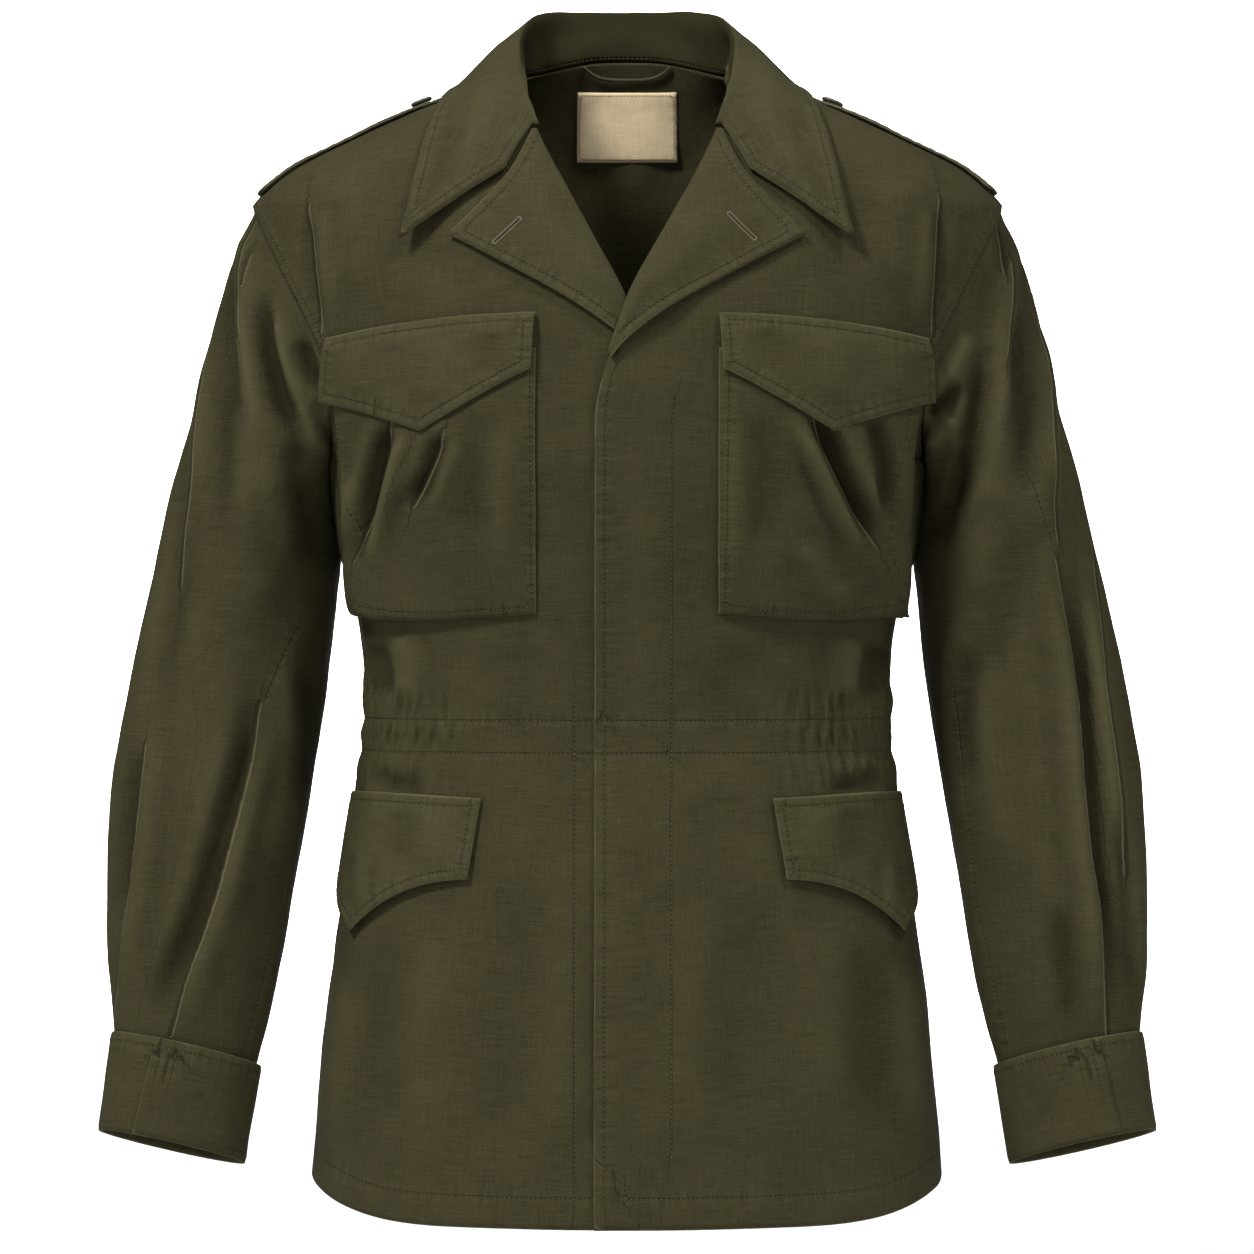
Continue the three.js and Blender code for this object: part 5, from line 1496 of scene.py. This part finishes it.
    def hanger(self) -> None:
        """Makes the hanger loop, a soft round cord sewn down at both ends."""
        low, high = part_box("hanger_loop")
        bm = bmesh.new()
        bm.from_mesh(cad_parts["hanger_loop"].data)
        bmesh.ops.remove_doubles(bm, verts=bm.verts, dist=1e-6)
        bmesh.ops.join_triangles(
            bm,
            faces=bm.faces[:],
            angle_face_threshold=math.radians(40),
            angle_shape_threshold=math.radians(100),
        )
        mesh = bpy.data.meshes.new("hanger_loop_cord")
        bm.to_mesh(mesh)
        bm.free()
        mesh.polygons.foreach_set("use_smooth", [True] * len(mesh.polygons))
        mesh.materials.append(CORD.material())
        piece = bpy.data.objects.new("hanger_loop_cord", mesh)
        bpy.context.scene.collection.objects.link(piece)
        split = piece.modifiers.new("Round", "SUBSURF")
        split.levels = split.render_levels = 2
        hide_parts("hanger_loop")
        settle(piece)
        LOG.info("hanger loop: %.1f mm between its ends", (high.x - low.x) / MM)


@dataclass(frozen=True)
class TwistedCord(Finish):
    """A soft cord with a slanting twist."""

    dark: tuple[float, float, float] = (0.018, 0.016, 0.007)
    light: tuple[float, float, float] = (0.055, 0.05, 0.024)

    def dress(self, tree: Tree) -> None:
        """Adds the twist."""
        place = tree.node("ShaderNodeTexCoord", {}, {}, "Object")
        parts = tree.node("ShaderNodeSeparateXYZ", {}, {0: place}, 0)
        up = Socket(tree, parts.output.node.outputs[2])
        twist = ((parts + up * 0.8) * (2 * math.pi / 0.0016)).wave() * 0.5 + 0.5
        fuzz = tree.speckle(place, 1400.0, 2.0)
        tree.feed("Base Color", tree.blend(twist * 0.7 + fuzz * 0.3, self.dark, self.light))
        tree.bump(twist * 0.0002 + fuzz * 0.00008)


CORD = TwistedCord("hanger_cord", roughness=0.85, sheen=0.1)


class Pockets:
    """The chest pockets with their flaps, and the hip flaps."""

    right_folds: tuple[Fold, ...] = (
        Fold(((391, 418), (372, 495), (352, 571)), -5.5, 6.0),
        Fold(((403, 426), (384, 500), (366, 575)), 2.7, 6.0),
        Fold(((443, 432), (428, 475), (410, 514)), -3.8, 6.0),
        Fold(((475, 400), (478, 470), (470, 560)), -2.1, 12.0),
        Fold(((505, 420), (502, 500), (508, 590)), 1.4, 9.0),
        Fold(((345, 470), (356, 520), (362, 560)), 1.9, 6.0),
    )
    left_folds: tuple[Fold, ...] = (
        Fold(((813, 410), (845, 480), (879, 550)), -5.5, 6.5),
        Fold(((803, 424), (833, 490), (866, 562)), 2.7, 6.0),
        Fold(((872, 408), (886, 470), (888, 530)), -3.4, 6.0),
        Fold(((762, 400), (768, 480), (760, 570)), -2.1, 12.0),
        Fold(((735, 420), (738, 500), (733, 590)), 1.4, 8.0),
        Fold(((800, 540), (830, 590), (862, 606)), 1.4, 8.0),
    )
    right_seams: tuple[Seam, ...] = (
        Seam(pixels=((531, 380), (531.5, 480), (532, 606))),
        Seam(pixels=((354, 606), (392, 612.5), (440, 613.5), (502, 609.5), (530, 607.5))),
        Seam(pixels=((336, 408), (341, 455), (352, 502), (359, 540), (353, 573), (349, 603))),
        Seam(pixels=((392, 420), (380, 460), (366, 515), (352, 568)), pitch=0.0),
        Seam(pixels=((444, 434), (436, 458), (420, 492), (412, 512)), pitch=0.0),
    )
    left_seams: tuple[Seam, ...] = (
        Seam(pixels=((730.5, 374), (728, 480), (726.5, 604))),
        Seam(pixels=((728, 606), (760, 610.5), (839, 613), (904, 604.5))),
        Seam(pixels=((913, 408), (897, 483), (889, 542), (900, 577), (904, 603))),
        Seam(pixels=((813, 412), (830, 455), (856, 505), (880, 552)), pitch=0.0, dark=1.0),
    )
    flap_folds: dict[str, tuple[Fold, ...]] = {
        "right": (
            Fold(((352, 350), (360, 400)), 0.9, 10.0),
            Fold(((440, 335), (432, 410)), 1.0, 12.0),
            Fold(((490, 330), (486, 385)), -1.0, 10.0),
        ),
        "left": (
            Fold(((770, 325), (776, 380)), -1.0, 10.0),
            Fold(((828, 330), (832, 412)), 1.0, 12.0),
            Fold(((900, 345), (894, 398)), 0.9, 10.0),
        ),
    }
    hip_folds: dict[str, tuple[Fold, ...]] = {
        "right": (
            Fold(((363, 850), (361, 880), (359, 912)), 0.7, 4.0, lip=0.6),
            Fold(((400, 805), (396, 870)), -1.0, 9.0),
            Fold(((440, 808), (438, 872)), 0.8, 10.0),
        ),
        "left": (
            Fold(((890, 855), (892, 884), (894, 914)), 0.7, 4.0, lip=0.6),
            Fold(((853, 806), (857, 872)), -1.0, 9.0),
            Fold(((812, 808), (815, 872)), 0.8, 10.0),
        ),
    }

    def pieces(self) -> list[ClothPiece]:
        """Lists the pockets and the flaps."""
        made = []
        for name, folds, seams in (
            ("right", self.right_folds, self.right_seams),
            ("left", self.left_folds, self.left_seams),
        ):
            made.append(
                ClothPiece(
                    "chest_pocket_" + name,
                    1.3,
                    (0.175, 0.195),
                    0.0315,
                    rests_on=("front_" + name + "_cloth",),
                    folds=folds,
                    seams=seams,
                )
            )
            made.append(
                ClothPiece(
                    "chest_flap_" + name,
                    1.3,
                    (0.16, 0.075),
                    0.0085,
                    held="laid",
                    rests_on=("chest_pocket_" + name + "_cloth",),
                    roll=0.5,
                    folds=self.flap_folds[name],
                    seams=(Seam(inset=6.0),),
                    finish=FACING_CLOTH,
                )
            )
            made.append(
                ClothPiece(
                    "hip_flap_" + name,
                    1.3,
                    (0.185, 0.09),
                    0.0115,
                    held="laid",
                    rests_on=("front_" + name + "_cloth",),
                    roll=0.5,
                    folds=self.hip_folds[name],
                    seams=(Seam(inset=6.0),),
                    finish=FACING_CLOTH,
                )
            )
        return made


@dataclass
class Straps:
    """The shoulder straps with their buttons."""

    button_radius: float = 7.5
    button_thick: float = 2.6
    hole_circle: float = 1.9
    hole_radius: float = 0.75

    def pieces(self) -> list[ClothPiece]:
        """Lists the two straps."""
        return [
            ClothPiece(
                "shoulder_strap_" + name,
                1.6,
                (0.14, 0.05),
                0.0062,
                held="laid",
                rests_on=("front_" + name + "_cloth", "back_cloth"),
                roll=0.5,
                seams=(Seam(inset=6.0),),
                finish=FACING_CLOTH,
            )
            for name in ("right", "left")
        ]

    def button(self, name: str) -> None:
        """Turns a four-hole button and sews it on.

        Args:
            name: The side.
        """
        node = "strap_button_" + name
        co = np.array([v.co[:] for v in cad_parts[node].data.vertices])
        centre = co.mean(axis=0)
        axes = np.linalg.svd(co - centre)[2]
        up = Vector(axes[2] * np.sign(axes[2][2]))
        heights = (co - centre) @ np.array(up[:])
        foot = Vector(centre) + up * float(heights.min())
        radius, thick = self.button_radius * MM, self.button_thick * MM
        bm = bmesh.new()
        outline = ((0.0, 0.0), (0.82, 0.0), (0.97, 0.2), (1.0, 0.5), (0.94, 0.88), (0.82, 1.0), (0.68, 0.9), (0.6, 0.7), (0.0, 0.66))
        verts = [bm.verts.new((r * radius, 0.0, h * thick)) for r, h in outline]
        edges = [bm.edges.new(pair) for pair in zip(verts, verts[1:])]
        bmesh.ops.spin(
            bm,
            geom=verts + edges,
            cent=(0, 0, 0),
            axis=(0, 0, 1),
            angle=2 * math.pi,
            steps=40,
            use_merge=True,
        )
        bmesh.ops.remove_doubles(bm, verts=bm.verts, dist=1e-6)
        bmesh.ops.recalc_face_normals(bm, faces=bm.faces)
        turn = up.to_track_quat("Z", "X").to_matrix().to_4x4()
        turn.translation = foot
        bm.transform(turn)
        mesh = bpy.data.meshes.new(node + "_horn")
        bm.to_mesh(mesh)
        bm.free()
        mesh.polygons.foreach_set("use_smooth", [True] * len(mesh.polygons))
        mesh.materials.append(HORN.material())
        piece = bpy.data.objects.new(node + "_horn", mesh)
        bpy.context.scene.collection.objects.link(piece)
        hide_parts(node)
        settle(piece)
        self._sew(node, turn, thick)

    def _sew(self, node: str, turn: Matrix, thick: float) -> None:
        """Draws dark marks of painted shade for the holes, and the crossed threads between them."""
        reach = self.hole_circle * MM
        top = thick * 0.7
        corners = [Vector((sx * reach, sy * reach, top)) for sx, sy in ((-1, -1), (1, -1), (1, 1), (-1, 1))]
        holes = [turn @ Matrix.Translation(c) for c in corners]
        # Painted shade standing in for the four holes.
        Thread(1.6, 1.6, 0.12).stamp(node + "_hole_shade", holes, SLIT_SHADE)
        threads = []
        for a, b in ((corners[0], corners[2]), (corners[1], corners[3])):
            for shift in (-0.22 * MM, 0.22 * MM):
                way = (b - a).normalized()
                side = Vector((-way.y, way.x, 0.0))
                middle = (a + b) / 2 + side * shift + Vector((0, 0, 0.25 * MM))
                threads.append(turn @ Thread.place(middle, way, Vector((0, 0, 1))))
        Thread(5.8, 0.5, 0.5).stamp(node + "_thread", threads, THREAD)


@dataclass
class Studio:
    """A pale sweep, soft lamps and the camera."""

    floor: float = -0.86
    wall: float = 5.0
    reach: float = 1.2
    near: float = -1.6
    bend: float = 1.2

    def build(self) -> None:
        """Sets the stage."""
        self._sweep()
        self._world()
        self._lamp("key", (-1.7, -1.8, 2.4), 0.7, 60.0)
        self._lamp("top", (1.5, -1.3, 2.5), 0.8, 26.0)
        self._lamp("fill", (0.3, -3.4, 0.2), 1.2, 8.0)
        self._lamp("left", (-2.3, -0.5, -0.1), 0.9, 6.0)
        self._lamp("right", (2.3, -0.5, -0.1), 0.9, 6.0)
        self._lamp("wall", (0.0, 2.9, 2.4), 2.0, 210.0, (0.0, 4.4, -0.8))
        self._camera()

    def _sweep(self) -> None:
        """Bends a pale floor up into a wall."""
        bm = bmesh.new()
        line = [(self.near, self.floor), (self.wall - self.bend, self.floor)]
        for k in range(1, 13):
            turn = math.pi / 2 * k / 12
            line.append(
                (
                    self.wall - self.bend + self.bend * math.sin(turn),
                    self.floor + self.bend * (1 - math.cos(turn)),
                )
            )
        line.append((self.wall, self.floor + 5.0))
        verts = [bm.verts.new((-self.reach, y, z)) for y, z in line]
        edges = [bm.edges.new(pair) for pair in zip(verts, verts[1:])]
        made = bmesh.ops.extrude_edge_only(bm, edges=edges)["geom"]
        moved = [v for v in made if isinstance(v, bmesh.types.BMVert)]
        bmesh.ops.translate(bm, vec=(2 * self.reach, 0, 0), verts=moved)
        bmesh.ops.recalc_face_normals(bm, faces=bm.faces)
        mesh = bpy.data.meshes.new("sweep")
        bm.to_mesh(mesh)
        bm.free()
        mesh.polygons.foreach_set("use_smooth", [True] * len(mesh.polygons))
        paper = bpy.data.materials.new("pale_paper")
        paper.use_nodes = True
        shader = next(n for n in paper.node_tree.nodes if n.type == "BSDF_PRINCIPLED")
        shader.inputs["Base Color"].default_value = (0.93, 0.93, 0.93, 1.0)
        shader.inputs["Roughness"].default_value = 0.95
        mesh.materials.append(paper)
        sweep = bpy.data.objects.new("sweep", mesh)
        bpy.context.scene.collection.objects.link(sweep)

    @staticmethod
    def _world() -> None:
        """Fills the room with even light."""
        world = bpy.data.worlds.new("room")
        bpy.context.scene.world = world
        world.use_nodes = True
        back = next(n for n in world.node_tree.nodes if n.type == "BACKGROUND")
        back.inputs["Color"].default_value = (1.0, 1.0, 1.0, 1.0)
        back.inputs["Strength"].default_value = 0.05
        bpy.context.scene.view_settings.view_transform = "Standard"

    @staticmethod
    def _lamp(
        name: str,
        place: tuple[float, float, float],
        size: float,
        power: float,
        aim: tuple[float, float, float] = (0.0, 0.0, VIEW.height),
    ) -> None:
        """Hangs a square soft lamp.

        Args:
            name: Its name.
            place: Where it hangs.
            size: The length of its side.
            power: In watts.
            aim: What it looks at.
        """
        data = bpy.data.lights.new(name, "AREA")
        data.shape = "SQUARE"
        data.size = size
        data.energy = power
        data.spread = math.radians(100)
        lamp = bpy.data.objects.new(name, data)
        bpy.context.scene.collection.objects.link(lamp)
        lamp.location = place
        way = Vector(aim) - Vector(place)
        lamp.rotation_euler = way.to_track_quat("-Z", "Y").to_euler()

    @staticmethod
    def _camera() -> None:
        """Stands the camera level, in front of the jacket."""
        data = bpy.data.cameras.new("camera")
        data.lens = VIEW.lens
        data.sensor_width = VIEW.sensor
        camera = bpy.data.objects.new("camera", data)
        camera.location = (0.0, -VIEW.distance, VIEW.height)
        camera.rotation_euler = (math.pi / 2, 0.0, 0.0)
        bpy.context.scene.collection.objects.link(camera)
        bpy.context.scene.camera = camera


def main() -> None:
    """Builds the jacket and its stage, logging the size of its pieces."""
    logging.basicConfig(level=logging.INFO, format="%(message)s")
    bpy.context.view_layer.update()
    Studio().build()
    needle = Thread()
    neck = Neck()
    straps = Straps()
    pieces = Body().pieces() + Sleeves().pieces() + Pockets().pieces() + neck.pieces() + straps.pieces()
    skins = {piece.node: piece.build(needle) for piece in pieces}
    for node, pixels in neck.buttonholes.items():
        neck.buttonhole(skins[node], pixels)
    neck.hanger()
    for name in ("right", "left"):
        straps.button(name)


if __name__ == "__main__":
    main()
